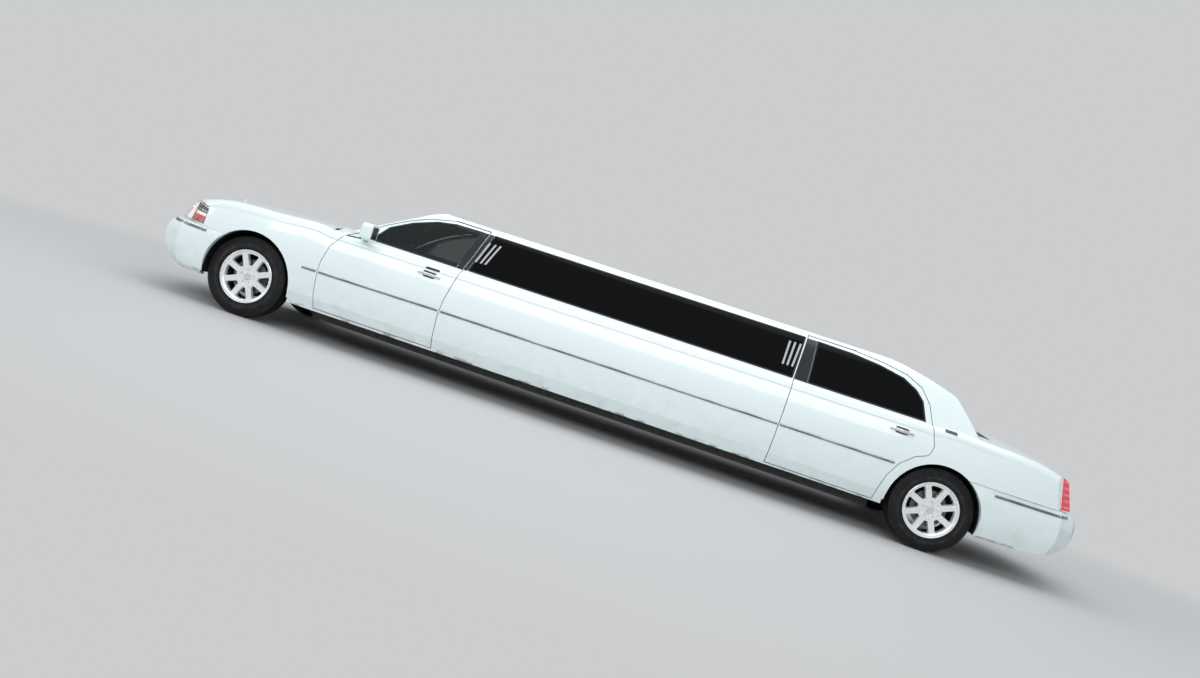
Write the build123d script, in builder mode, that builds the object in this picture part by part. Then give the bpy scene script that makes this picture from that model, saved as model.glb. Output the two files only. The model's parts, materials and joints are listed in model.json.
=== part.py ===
"""Stretch limousine: a full-size four-door sedan lengthened between its doors.

Millimetres. +X is forward, +Y is the car's left, +Z is up. The origin is on the ground, below the middle of
the car's overall box. Places along the car are written as distances ahead of the front axle, ahead(d), or
ahead of the rear axle, behind(d), where a negative distance lies towards the tail.
"""
from build123d import *
import math
import os

os.makedirs("parts", exist_ok=True)

# Overall sizes
wheelbase = 6038.0
front_overhang = 1040.0
rear_overhang = 1400.0
half_width = 985.0
sill_height = 252.0
belt_height = 960.0
roof_height = 1410.0
line_rise = 0.0085          # how far the belt line climbs towards the tail for each millimetre
roof_rise = 0.0055

# Walls and gaps
door_thickness = 130.0
wing_thickness = 40.0
deck_thickness = 45.0
pillar_depth = 50.0
shut_gap = 6.0
flange_step = 20.0
glass_inset = 4.0
glass_thickness = 5.0
seat_gap = 0.3

# Wheels
tyre_radius = 345.0
tyre_width = 225.0
rim_radius = 216.0
front_track = 1610.0
rear_track = 1650.0
front_arch_radius = 392.0
rear_arch_radius = 386.0
kingpin_offset = 45.0
axle_height = tyre_radius
spoke_count = 8
stub_radius = 24.95
hub_bore_radius = 25.0

overall_length = front_overhang + wheelbase + rear_overhang
front_axle_x = overall_length / 2 - front_overhang
rear_axle_x = front_axle_x - wheelbase


def ahead(distance):
    """A place along the car, measured forwards from the front axle."""
    return front_axle_x + distance


def behind(distance):
    """A place along the car, measured forwards from the rear axle, so that places behind it are negative."""
    return rear_axle_x + distance


def rake(x, rise=line_rise):
    """How far a body line has climbed at x, above its height at the front door's leading edge."""
    return (ahead(-640) - x) * rise


def side_prism(points, y_low, y_high, rounding=0.0):
    """A side-view outline of (x, z) points carried across the car from y_low to y_high."""
    with BuildPart() as prism:
        with BuildSketch(Plane.XZ.offset(-y_high)) as outline:
            with BuildLine():
                Polyline(*points, close=True)
            make_face()
            if rounding:
                fillet(outline.vertices(), rounding)
        extrude(amount=y_high - y_low)
    return prism.part


def plan_prism(points, z_low, z_high, rounding=0.0):
    """A plan-view outline of (x, y) points carried up from z_low to z_high."""
    with BuildPart() as prism:
        with BuildSketch(Plane.XY.offset(z_low)) as outline:
            with BuildLine():
                Polyline(*points, close=True)
            make_face()
            if rounding:
                fillet(outline.vertices(), rounding)
        extrude(amount=z_high - z_low)
    return prism.part


def front_prism(points, x_low, x_high, rounding=0.0):
    """A front-view outline of (y, z) points carried along the car from x_low to x_high."""
    with BuildPart() as prism:
        with BuildSketch(Plane(origin=(x_low, 0, 0), x_dir=(0, 1, 0), z_dir=(1, 0, 0))) as outline:
            with BuildLine():
                Polyline(*points, close=True)
            make_face()
            if rounding:
                fillet(outline.vertices(), rounding)
        extrude(amount=x_high - x_low)
    return prism.part


def block(x_low, x_high, y_low, y_high, z_low, z_high):
    """A plain block between two corners."""
    centre = ((x_low + x_high) / 2, (y_low + y_high) / 2, (z_low + z_high) / 2)
    with BuildPart() as solid:
        with Locations(centre):
            Box(x_high - x_low, y_high - y_low, z_high - z_low)
    return solid.part


def tube_across(x, z, radius, y_low, y_high):
    """A cylinder that lies across the car."""
    with BuildPart() as solid:
        with BuildSketch(Plane.XZ.offset(-y_high)):
            with Locations((x, z)):
                Circle(radius)
        extrude(amount=y_high - y_low)
    return solid.part


def mirrored(part):
    """The same form on the car's right."""
    with BuildPart() as other:
        add(part)
        mirror(about=Plane.XZ, mode=Mode.REPLACE)
    return other.part


def keep_both(part):
    """A form together with its mirror image."""
    with BuildPart() as pair:
        add(part)
        mirror(about=Plane.XZ)
    return pair.part


def save(builder, name):
    """Label a finished piece and write it."""
    builder.part.label = name
    export_step(builder.part, f"parts/{name}.step")


# Lower body form
# Each row is one cross-section: where it stands, the half width at the moulding, the moulding's height, the
# half width and height where the shoulder meets the top, the height of the top at the centre, the sill height.
nose_sections = [
    (ahead(820), 770, 575, 660, 795, 862, sill_height),
    (ahead(640), 893, 577, 800, 838, 915, sill_height),
    (ahead(420), 952, 579, 852, 903, 952, sill_height),
    (ahead(140), 979, 581, 868, 941, 979, sill_height),
    (ahead(-160), half_width - 1, 582, 876, 957, 995, sill_height),
    (ahead(-600), half_width, 584, 888, belt_height + 3, 1012, sill_height),
]
middle_sections = [
    (ahead(-600), half_width, 584, 888, belt_height + 3, 1012, sill_height),
    (behind(150), half_width, 624, 892, belt_height + 44, 1056, sill_height + 12),
]
tail_sections = [
    (behind(150), half_width, 624, 892, belt_height + 44, 1056, sill_height + 12),
    (behind(-200), half_width - 2, 626, 884, 1014, 1074, sill_height + 10),
    (behind(-460), 974, 628, 862, 1005, 1062, sill_height + 5),
    (behind(-720), 950, 630, 822, 984, 1040, sill_height),
    (behind(-960), 912, 632, 770, 930, 992, sill_height),
    (behind(-1220), 840, 634, 690, 850, 900, sill_height),
]


def body_loft(rows, inset=0.0, open_below=0.0, straight=False):
    """The lower body's form between the first and last rows, set in by inset and carried down if open below."""
    with BuildPart() as form:
        for x, half, mould_z, shoulder_y, shoulder_z, top_z, sill_z in rows:
            low = sill_z - open_below
            sill_in = half - 72 - inset
            crease = (half - 28 - inset, sill_z + 106)
            widest = (half - inset, mould_z)
            upper = (half - 30 - inset, shoulder_z - 78)
            crown = (shoulder_y - inset, shoulder_z - inset)
            bend = (crown[0] + 0.72 * (upper[0] - crown[0]), upper[1] + 0.72 * (crown[1] - upper[1]))
            with BuildSketch(Plane(origin=(x, 0, 0), x_dir=(0, 1, 0), z_dir=(1, 0, 0))):
                with BuildLine():
                    Line((-sill_in, low), (sill_in, low))
                    Line((sill_in, low), crease)
                    ThreePointArc(crease, widest, upper)
                    ThreePointArc(upper, bend, crown)
                    ThreePointArc(crown, (0, top_z - inset), (-crown[0], crown[1]))
                    ThreePointArc((-crown[0], crown[1]), (-bend[0], bend[1]), (-upper[0], upper[1]))
                    ThreePointArc((-upper[0], upper[1]), (-widest[0], widest[1]), (-crease[0], crease[1]))
                    Line((-crease[0], crease[1]), (-sill_in, low))
                make_face()
        loft(ruled=straight)
    return form.part


def end_form(inset=0.0):
    """The plan shape of nose and tail, leaning back with height, which trims the lower body at both ends."""
    with BuildPart() as form:
        for z, nose, tail in ((200.0, 1118.0, -1356.0), (1200.0, 618.0, -990.0)):
            with BuildSketch(Plane.XY.offset(z)):
                with BuildLine():
                    nose_x = ahead(nose - inset)
                    tail_x = behind(tail + inset)
                    ThreePointArc((nose_x - 154, 800), (nose_x, 0), (nose_x - 154, -800))
                    Line((nose_x - 154, -800), (nose_x - 420, -1010))
                    Line((nose_x - 420, -1010), (tail_x + 330, -1010))
                    Line((tail_x + 330, -1010), (tail_x + 62, -740))
                    ThreePointArc((tail_x + 62, -740), (tail_x, 0), (tail_x + 62, 740))
                    Line((tail_x + 62, 740), (tail_x + 330, 1010))
                    Line((tail_x + 330, 1010), (nose_x - 420, 1010))
                    Line((nose_x - 420, 1010), (nose_x - 154, 800))
                make_face()
        loft(ruled=True)
    return form.part


# Greenhouse form
screen_slope = 1.813        # how far the windscreen runs back for each millimetre of height
screen_bow = 2180.0
backlight_bow = 1800.0


def roof_tube(inset=0.0):
    """The constant section of pillars and roof: leaning sides, rounded cant rails, a crowned roof."""
    with BuildPart() as tube:
        for x in (ahead(-430), behind(-560)):
            low = belt_height - 70 + rake(x)
            top = roof_height + rake(x, roof_rise) - inset
            side_low = (926 - inset, low)
            side_high = (738 - inset, top - 74 + 0.5 * inset)
            side_mid = (845 - inset, (low + side_high[1]) / 2)
            cant = (640 - inset, top - 20)
            cant_mid = (706 - inset, top - 37)
            with BuildSketch(Plane(origin=(x, 0, 0), x_dir=(0, 1, 0), z_dir=(1, 0, 0))):
                with BuildLine():
                    Line((-side_low[0], low), side_low)
                    ThreePointArc(side_low, side_mid, side_high)
                    ThreePointArc(side_high, cant_mid, cant)
                    ThreePointArc(cant, (0, top), (-cant[0], cant[1]))
                    ThreePointArc((-cant[0], cant[1]), (-cant_mid[0], cant_mid[1]), (-side_high[0], side_high[1]))
                    ThreePointArc((-side_high[0], side_high[1]), (-side_mid[0], side_mid[1]), (-side_low[0], low))
                make_face()
        loft(ruled=True)
    return tube.part


def screen_profile(inset=0.0):
    """The side profile from windscreen to rear window, bowed in plan at both ends."""
    lean = 2.07 * inset
    fall = 1.6 * inset
    with BuildPart() as profile:
        for y in (-960.0, -480.0, 0.0, 480.0, 960.0):
            screen_set = y * y / (2 * screen_bow)
            light_set = y * y / (2 * backlight_bow)
            foot = (ahead(-445) - screen_set - lean, 930.0)
            header = (foot[0] - 382 * screen_slope, 1312.0)
            brow = (header[0] - 200, 1398.0 - 0.6 * inset)
            roof_front = (header[0] - 400, 1438.0 - inset)
            roof_back = (behind(1100), 1452.0 - inset)
            rear_bend = (behind(600), 1412.0 - inset)
            rear_drop = (behind(15) + 0.25 * light_set, 1280.0 - inset)
            tail = (behind(-470) + light_set + fall, 950.0)
            with BuildSketch(Plane.XZ.offset(-y)):
                with BuildLine():
                    Line(foot, header)
                    ThreePointArc(header, brow, roof_front)
                    Line(roof_front, roof_back)
                    ThreePointArc(roof_back, rear_bend, rear_drop)
                    Line(rear_drop, tail)
                    Line(tail, foot)
                make_face()
        loft()
    return profile.part


def greenhouse(inset=0.0):
    """Windscreen, pillars, side glass and roof as one closed form."""
    with BuildPart() as form:
        add(roof_tube(inset))
        add(screen_profile(inset), mode=Mode.INTERSECT)
    return form.part


greenhouse_outer = greenhouse()
greenhouse_inner = greenhouse(pillar_depth)
body_ends = end_form()
inner_ends = end_form(deck_thickness)
nose_loft = body_loft(nose_sections)
tail_loft = body_loft(tail_sections)

with BuildPart() as body_form:
    add(nose_loft)
    add(body_loft(middle_sections, straight=True))
    add(tail_loft)
    add(body_ends, mode=Mode.INTERSECT)
    add(greenhouse_outer)

cabin_half = half_width - door_thickness
hub_gap = 20.0              # from a wheel's centre plane in to the end of the axle tube or knuckle
hub_face = 10.0             # from a wheel's centre plane in to the hub's inner face
stub_reach = 54.0           # how far the stub axle reaches out past the wheel's centre plane
engine_room = body_loft(nose_sections, wing_thickness, open_below=200)
with BuildPart() as nose_hollow:
    add(engine_room)
    add(inner_ends, mode=Mode.INTERSECT)
with BuildPart() as trunk_hollow:
    add(body_loft(tail_sections, deck_thickness, open_below=200))
    add(inner_ends, mode=Mode.INTERSECT)
cabin_box = front_prism(
    [(-cabin_half, 0), (cabin_half, 0), (cabin_half, belt_height - 40), (cabin_half - 18, belt_height + 60),
     (-cabin_half + 18, belt_height + 60), (-cabin_half, belt_height - 40)],
    behind(100), ahead(-590))

with BuildPart() as body_shell:
    add(body_form.part)
    add(nose_hollow.part, mode=Mode.SUBTRACT)
    add(trunk_hollow.part, mode=Mode.SUBTRACT)
    add(cabin_box, mode=Mode.SUBTRACT)
    add(greenhouse_inner, mode=Mode.SUBTRACT)
shell = body_shell.part

# Shut lines, as side-view outlines in millimetres ahead of the front axle (front) or of the rear axle (rear)
screen_top = 1306.0
light_top = 1272.0
rail_line = [(ahead(-1000), screen_top), (ahead(-1262), screen_top), (ahead(-1560), 1368.0), (behind(760), 1390.0)]
front_door_line = [(-651, 279), (-628, 413), (-612, 600), (-616, 690), (-646, 828), (-731, 950), (-840, 1010),
                   (-1005, 1133), (-1172, 1232), (-1335, 1306), (-1545, 1358), (-1856, 1361), (-1762, 985),
                   (-1731, 842), (-1702, 690), (-1694, 568), (-1700, 419), (-1711, 279)]
front_glass_line = [(-930, 980), (-1040, 1133), (-1208, 1232), (-1401, 1308), (-1560, 1338), (-1800, 1345),
                    (-1704, 985)]
rear_door_line = [(1390, 283), (1378, 985), (1350, 1379), (960, 1380), (708, 1362), (488, 1326), (350, 1262),
                  (262, 1150), (200, 985), (157, 848), (162, 794), (185, 760), (273, 724), (378, 628), (441, 510),
                  (469, 388), (480, 283)]
rear_glass_line = [(1266, 1003), (1270, 1362), (966, 1358), (725, 1338), (508, 1298), (387, 1236), (314, 1162),
                   (258, 1008)]
stretch_glass_line = [(ahead(-1800), 990), (ahead(-1902), 1348), (behind(1368), 1364), (behind(1390), 1003)]


def placed(points, place):
    """Side-view points measured from an axle, as points of the car."""
    return [(place(x), z) for x, z in points]


def outline_prism(points, grow, y_low, y_high):
    """A side-view outline, grown or shrunk all round, carried across the car."""
    with BuildPart() as prism:
        with BuildSketch(Plane.XZ.offset(-y_high)):
            with BuildLine():
                Polyline(*points, close=True)
            make_face()
            if grow:
                offset(amount=grow, kind=Kind.INTERSECTION)
        extrude(amount=y_high - y_low)
    return prism.part


front_door_outline = placed(front_door_line, ahead)
rear_door_outline = placed(rear_door_line, behind)
front_glass_outline = placed(front_glass_line, ahead)
rear_glass_outline = placed(rear_glass_line, behind)

front_arch = tube_across(ahead(-6), axle_height, front_arch_radius, 480, 1100)
rear_arch = tube_across(behind(4), axle_height - 5, rear_arch_radius, 640, 1100)
liner_space = 14.0          # the wheel housing's outer surface stands this far outside the arch's edge
front_recess = tube_across(ahead(-6), axle_height, front_arch_radius + liner_space, 480, 925)
rear_recess = tube_across(behind(4), axle_height - 5, rear_arch_radius + liner_space, 600, 930)

# Roof: everything above the cant rail, and down the rear pillars to the top of the rear window
roof_region = side_prism(
    rail_line + [(behind(30), light_top), (behind(-200), light_top), (behind(-200), 1600), (ahead(-1000), 1600)],
    -1100, 1100) + block(behind(-200), ahead(-1262), -680, 680, light_top, 1600)
with BuildPart() as roof:
    add(shell)
    add(roof_region, mode=Mode.INTERSECT)
save(roof, "roof")

# Front end regions
lamp_top = 846.0
lamp_bottom = 655.0
lamp_side = [(462, 806), (478, lamp_bottom), (1000, lamp_bottom), (1000, lamp_top), (623, lamp_top + 2)]
lamp_plan = [(1200, 425), (1200, 1100), (455, 1100), (478, 920), (600, 700), (660, 425)]
hood_edge = [(-575, 790), (250, 752), (640, 640), (800, 600), (1200, 600)]
bumper_joint = 643.0
with BuildPart() as nose_solid:
    add(nose_loft)
    add(body_ends, mode=Mode.INTERSECT)
with BuildPart() as lamp_region:
    add(side_prism(placed(lamp_side, ahead), 400, 1100))
    add(plan_prism([(ahead(x), y) for x, y in lamp_plan], 600, 900), mode=Mode.INTERSECT)
with BuildPart() as headlamp:
    add(nose_solid.part)
    add(lamp_region.part, mode=Mode.INTERSECT)
with BuildPart() as headlamps:
    add(keep_both(headlamp.part))
save(headlamps, "headlamps")

hood_left = [(ahead(x), y) for x, y in hood_edge]
hood_right = [(x, -y) for x, y in reversed(hood_left)]
hood_region = plan_prism(hood_left + hood_right, lamp_top + 4, 1200)
with BuildPart() as hood:
    add(nose_solid.part)
    add(body_loft(nose_sections, 30.0, open_below=200), mode=Mode.SUBTRACT)
    add(hood_region, mode=Mode.INTERSECT)
save(hood, "hood")

# Front wings: the shell's corner from the nose back to the front door and the windscreen pillar
wing_back = [(-645, sill_height - 20), (-645, 279), (-622, 413), (-606, 600), (-610, 690), (-640, 828), (-725, 952),
             (-700, 1100)]
wing_front = [(640, 1100), (640, lamp_bottom), (470, bumper_joint), (150, bumper_joint), (150, sill_height - 20)]
hood_gap_left = [(x, y + shut_gap) for x, y in hood_left]
hood_gap = plan_prism([(ahead(-579), 0)] + [(ahead(-579), 796)] + hood_gap_left[1:] + [(ahead(1200), 0)],
                      lamp_top - 2, 1200)
with BuildPart() as front_wing:
    add(shell)
    add(side_prism(placed(wing_back + wing_front, ahead), 420, 1100), mode=Mode.INTERSECT)
    add(hood_gap, mode=Mode.SUBTRACT)
    add(front_arch, mode=Mode.SUBTRACT)
    add(front_recess, mode=Mode.SUBTRACT)
    add(headlamp.part, mode=Mode.SUBTRACT)
    add(block(ahead(-900), ahead(-579), 0, 800, 700, 1200), mode=Mode.SUBTRACT)
front_wing_left = front_wing.part
with BuildPart() as front_wing_right:
    add(mirrored(front_wing_left))
save(front_wing, "front_wing_left")
save(front_wing_right, "front_wing_right")

# Openings in the body
cowl_half = 796.0
shelf_half = 700.0
deck_front = behind(-339)
screen_foot = 1012.0
light_foot = 1066.0
screen_corners = [(-830, screen_foot), (830, screen_foot), (694, screen_top), (-694, screen_top)]
light_corners = [(-715, light_foot), (715, light_foot), (575, light_top), (-575, light_top)]
screen_range = (ahead(-1700), ahead(-400))
light_range = (behind(-700), behind(150))
screen_cut = front_prism(screen_corners, *screen_range)
light_cut = front_prism(light_corners, *light_range)
stretch_cut = side_prism(stretch_glass_line, 300, 1100, 12)
deck_edge = [(-345, 692), (-460, 692), (-900, 628), (-1000, 560), (-1500, 560)]
deck_left = [(behind(x), y) for x, y in deck_edge]
tail_lamp_top = 940.0
tail_lamp_bottom = 680.0
quarter_joint = 672.0

# Tail lamps, wrapped round the corners of the tail
with BuildPart() as tail_solid:
    add(tail_loft)
    add(body_ends, mode=Mode.INTERSECT)
lamp_gap = 7.0
tail_lamp_inner = [(x, y + lamp_gap) for x, y in deck_left[2:]]
tail_lamp_plan = plan_prism(tail_lamp_inner + [(behind(-1500), 1100), (behind(-900), 1100)],
                            tail_lamp_bottom, tail_lamp_top)
tail_lamp_side = [(-931, tail_lamp_top), (-970, tail_lamp_bottom), (-1500, tail_lamp_bottom), (-1500, tail_lamp_top)]
with BuildPart() as tail_lamp:
    add(tail_solid.part)
    add(tail_lamp_plan, mode=Mode.INTERSECT)
    add(side_prism(placed(tail_lamp_side, behind), 500, 1100), mode=Mode.INTERSECT)
with BuildPart() as tail_lamps:
    add(keep_both(tail_lamp.part))
save(tail_lamps, "tail_lamps")

# Body side: sill, door pillars, the long panel between the doors, rear pillar and quarter panel
side_bottom = sill_height - 30
side_region = side_prism(
    [(ahead(-645), side_bottom), (ahead(-645), 279), (ahead(-725), 952), (ahead(-700), 1100), (ahead(-1100), 1500),
     (behind(-700), 1500), (behind(-1300), 1000), (behind(-1300), quarter_joint), (behind(-100), quarter_joint),
     (behind(-100), side_bottom)], 300, 1100)
hinge_pillar = side_prism(
    [(ahead(-700), sill_height), (ahead(-545), sill_height), (ahead(-545), 900), (ahead(-700), 1011),
     (ahead(-830), 1011), (ahead(-760), 900)], cowl_half, 895)
front_opening = outline_prism(front_door_outline, shut_gap, 300, 1100)
rear_opening = outline_prism(rear_door_outline, shut_gap, 300, 1100)
front_header_cut = side_prism(placed([(-1545, 1350), (-1545, 1440), (-1872, 1440), (-1862, 1350)], ahead), 300, 1100)
rear_header_cut = side_prism(placed([(1356, 1370), (1356, 1440), (860, 1440), (960, 1370)], behind), 300, 1100)
deck_gap_left = [(deck_front, deck_edge[0][1] + shut_gap)] + [(x, y + shut_gap) for x, y in deck_left[1:]]
deck_gap = plan_prism([(deck_front, 0)] + deck_gap_left + [(behind(-1500), 0)], tail_lamp_bottom - 4, 1200)
with BuildPart() as body_side:
    add(shell)
    add(side_region, mode=Mode.INTERSECT)
    add(hinge_pillar)
    add(roof_region, mode=Mode.SUBTRACT)
    add(front_wing_left, mode=Mode.SUBTRACT)
    add(block(ahead(-860), ahead(-400), 0, cowl_half, 900, screen_foot), mode=Mode.SUBTRACT)
    add(block(deck_front, behind(200), 0, shelf_half, 900, light_foot), mode=Mode.SUBTRACT)
    for cut in (front_opening, rear_opening, front_header_cut, rear_header_cut, screen_cut, light_cut, stretch_cut,
                deck_gap, tail_lamp.part, rear_arch, rear_recess):
        add(cut, mode=Mode.SUBTRACT)
body_side_left = body_side.part
with BuildPart() as body_side_right:
    add(mirrored(body_side_left))
save(body_side, "body_side_left")
save(body_side_right, "body_side_right")

# Cowl below the windscreen, and the parcel shelf below the rear window
with BuildPart() as cowl:
    add(body_form.part)
    add(block(ahead(-860), ahead(-581), -cowl_half, cowl_half, 945, screen_foot), mode=Mode.INTERSECT)
save(cowl, "cowl")
with BuildPart() as parcel_shelf:
    add(body_form.part)
    add(block(deck_front + shut_gap, behind(140), -shelf_half, shelf_half, 1020, light_foot), mode=Mode.INTERSECT)
save(parcel_shelf, "parcel_shelf")

# Plate fixings: two holes in a line across the car
plate_spacing = 177.8
plate_hole_radius = 3.5
front_plate_z = 510.0
rear_plate_z = 842.0
plate_seat = behind(-1105)


def plate_holes(x_low, x_high, z):
    """Two round cutters along the car."""
    with BuildPart() as holes:
        with BuildSketch(Plane(origin=(x_low, 0, z), x_dir=(0, 1, 0), z_dir=(1, 0, 0))):
            with GridLocations(plate_spacing, 1, 2, 1):
                Circle(plate_hole_radius)
        extrude(amount=x_high - x_low)
    return holes.part


# Trunk lid: the deck and the panel between the tail lamps, in one piece, with a recess for the plate
deck_right = [(x, -y) for x, y in reversed(deck_left)]
with BuildPart() as trunk_lid:
    add(tail_solid.part)
    add(trunk_hollow.part, mode=Mode.SUBTRACT)
    add(plan_prism(deck_left + deck_right, tail_lamp_bottom + 6, 1200), mode=Mode.INTERSECT)
    add(block(behind(-1150), plate_seat + 17, -178, 178, 692, 872))
    add(block(behind(-1300), plate_seat, -166, 166, 698, 858), mode=Mode.SUBTRACT)
    add(plate_holes(plate_seat - 40, plate_seat + 40, rear_plate_z), mode=Mode.SUBTRACT)
save(trunk_lid, "trunk_lid")

# Glass, set just inside the body's surface
side_glass_band = roof_tube(glass_inset) - roof_tube(glass_inset + glass_thickness)


def bowed_band(foot, head, bow):
    """A thin leaning sheet bowed in plan: a windscreen's or rear window's glass before its outline is cut."""
    length = math.hypot(head[0] - foot[0], head[1] - foot[1])
    inward = math.copysign(1, head[0] - foot[0])
    across = (inward * (head[1] - foot[1]) / length, -abs(head[0] - foot[0]) / length)
    with BuildPart() as band:
        for y in (-960.0, -480.0, 0.0, 480.0, 960.0):
            shift = inward * y * y / (2 * bow)
            corners = []
            for point, depth in ((foot, glass_inset), (head, glass_inset), (head, glass_inset + glass_thickness),
                                 (foot, glass_inset + glass_thickness)):
                corners.append((point[0] + shift + across[0] * depth, point[1] + across[1] * depth))
            with BuildSketch(Plane.XZ.offset(-y)):
                with BuildLine():
                    Polyline(*corners, close=True)
                make_face()
        loft()
    return band.part


screen_line = ((ahead(-445), 930.0), (ahead(-445 - 382 * screen_slope), 1312.0))
light_line = ((behind(-470), 950.0), (behind(15), 1280.0))

def pane_corners(corners):
    """A window's corners drawn in by the small gap at its seat."""
    return [(y - math.copysign(seat_gap, y), z + math.copysign(seat_gap, 1150 - z)) for y, z in corners]


with BuildPart() as windscreen:
    add(bowed_band(*screen_line, screen_bow))
    add(front_prism(pane_corners(screen_corners), *screen_range), mode=Mode.INTERSECT)
save(windscreen, "windscreen")
with BuildPart() as rear_window:
    add(bowed_band(*light_line, backlight_bow))
    add(front_prism(pane_corners(light_corners), *light_range), mode=Mode.INTERSECT)
save(rear_window, "rear_window")
with BuildPart() as stretch_pane:
    add(side_glass_band)
    add(side_prism(stretch_glass_line, 300, 1100, 12), mode=Mode.INTERSECT)
with BuildPart() as stretch_windows:
    add(keep_both(stretch_pane.part))
save(stretch_windows, "stretch_windows")

# Doors: as thick as the wall, with a step round the inner part so that the edge clears the pillar as it swings
inner_zone = front_prism([(0, 200), (870, 200), (912, 360), (942, 600), (918, 860), (880, 960), (722, 1330),
                          (680, 1420), (0, 1420)], behind(0), ahead(-500))


def door_blank(outline, glass_outline):
    """One left door without its mirror, from its shut line and its window's edge."""
    with BuildPart() as step:
        add(outline_prism(outline, 2, 650, 1100))
        add(outline_prism(outline, -flange_step, 650, 1100), mode=Mode.SUBTRACT)
        add(inner_zone, mode=Mode.INTERSECT)
    with BuildPart() as door:
        add(shell)
        add(outline_prism(outline, 0, 680, 1100), mode=Mode.INTERSECT)
        add(step.part, mode=Mode.SUBTRACT)
        add(outline_prism(glass_outline, 0, 500, 1100), mode=Mode.SUBTRACT)
    return door.part


def door_glass(glass_outline):
    """The pane in a left door."""
    with BuildPart() as pane:
        add(side_glass_band)
        add(outline_prism(glass_outline, -seat_gap, 500, 1100), mode=Mode.INTERSECT)
    return pane.part


# Mirrors: a housing rounded to the front, with a sharper edge round the glass, on a short arm
mirror_corner = 32.0
mirror_front_radius = 30.0
mirror_rim_radius = 8.0
with BuildPart() as mirror_housing:
    with Locations((ahead(-948), 1040, 1038)):
        Box(105, 180, 145)
    fillet(mirror_housing.edges().filter_by(Axis.X), mirror_corner)
    fillet(mirror_housing.faces().sort_by(Axis.X)[-1].edges(), mirror_front_radius)
    fillet(mirror_housing.faces().sort_by(Axis.X)[0].edges(), mirror_rim_radius)
    with Locations((ahead(-898), 935, 1000)):
        Box(50, 90, 50)

# Door handles: a cup sunk into the skin, bridged by a pull on two feet
handle_length = 196.0
handle_height = 20.0
handle_thickness = 12.0
handle_stand = 18.0          # from the skin out to the pull's outer face
cup_length = 120.0
cup_height = 54.0
cup_depth = 18.0
cup_radius = 12.0
foot_length = 26.0


def handle_cup(x, skin_y, z):
    """The cup's cutter: a slot with a rounded floor."""
    with BuildPart() as cup:
        with BuildSketch(Plane.XZ.offset(-(skin_y + 60))):
            with Locations((x, z)):
                SlotOverall(cup_length, cup_height)
        extrude(amount=60 + cup_depth)
        fillet(cup.faces().sort_by(Axis.Y)[0].edges(), cup_radius)
    return cup.part


def handle_pull(x, skin_y, z):
    """The pull with its two feet, which reach into the door's skin."""
    outer = skin_y + handle_stand
    with BuildPart() as pull:
        with Locations((x, outer - handle_thickness / 2, z)):
            Box(handle_length, handle_thickness, handle_height)
        fillet(pull.edges().filter_by(Axis.Y), handle_height / 2 - 1)
        for end in (-1, 1):
            with Locations((x + end * (handle_length - foot_length) / 2, outer - handle_thickness / 2 - 12, z)):
                Box(foot_length - 8, 30, handle_height - 6)
    return pull.part


front_handle = (ahead(-1522), 960.0, 860.0)
rear_handle = (behind(432), 962.0, 883.0)

with BuildPart() as door_front_left:
    add(door_blank(front_door_outline, front_glass_outline))
    add(mirror_housing.part)
    add(handle_cup(*front_handle), mode=Mode.SUBTRACT)
    add(handle_pull(*front_handle))
with BuildPart() as door_front_right:
    add(mirrored(door_front_left.part))
with BuildPart() as door_rear_left:
    add(door_blank(rear_door_outline, rear_glass_outline))
    add(handle_cup(*rear_handle), mode=Mode.SUBTRACT)
    add(handle_pull(*rear_handle))
with BuildPart() as door_rear_right:
    add(mirrored(door_rear_left.part))
with BuildPart() as glass_front_left:
    add(door_glass(front_glass_outline))
with BuildPart() as glass_front_right:
    add(mirrored(glass_front_left.part))
with BuildPart() as glass_rear_left:
    add(door_glass(rear_glass_outline))
with BuildPart() as glass_rear_right:
    add(mirrored(glass_rear_left.part))
save(door_front_left, "door_front_left")
save(door_front_right, "door_front_right")
save(door_rear_left, "door_rear_left")
save(door_rear_right, "door_rear_right")
save(glass_front_left, "glass_front_left")
save(glass_front_right, "glass_front_right")
save(glass_rear_left, "glass_rear_left")
save(glass_rear_right, "glass_rear_right")

# The frame's rails: their width, and how far out they run in the middle and at both ends
rail_width = 85.0
mid_rail_y = 720.0
end_rail_y = 420.0

# Bumpers: each row is a height, how far the face is set back there, and how far the flanks are
front_bumper_rows = [(243, 210, 62), (300, 82, 24), (400, 20, 6), (520, 0, 0), (600, 26, 4), (bumper_joint, 84, 14)]
rear_bumper_rows = [(235, 84, 50), (330, 50, 24), (430, 4, 3), (520, 0, 0), (610, 26, 4), (quarter_joint - 3, 96, 10)]
bumper_wall = 70.0
# The corner's place, two places on the flank and the flank's end inside the wheel arch, each with its half width
front_bumper_plan = ((858, 790), (690, 905), (330, 974), (200, 984))
rear_bumper_plan = ((-1190, 740), (-1010, 915), (-330, 985), (-150, 990))


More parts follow.
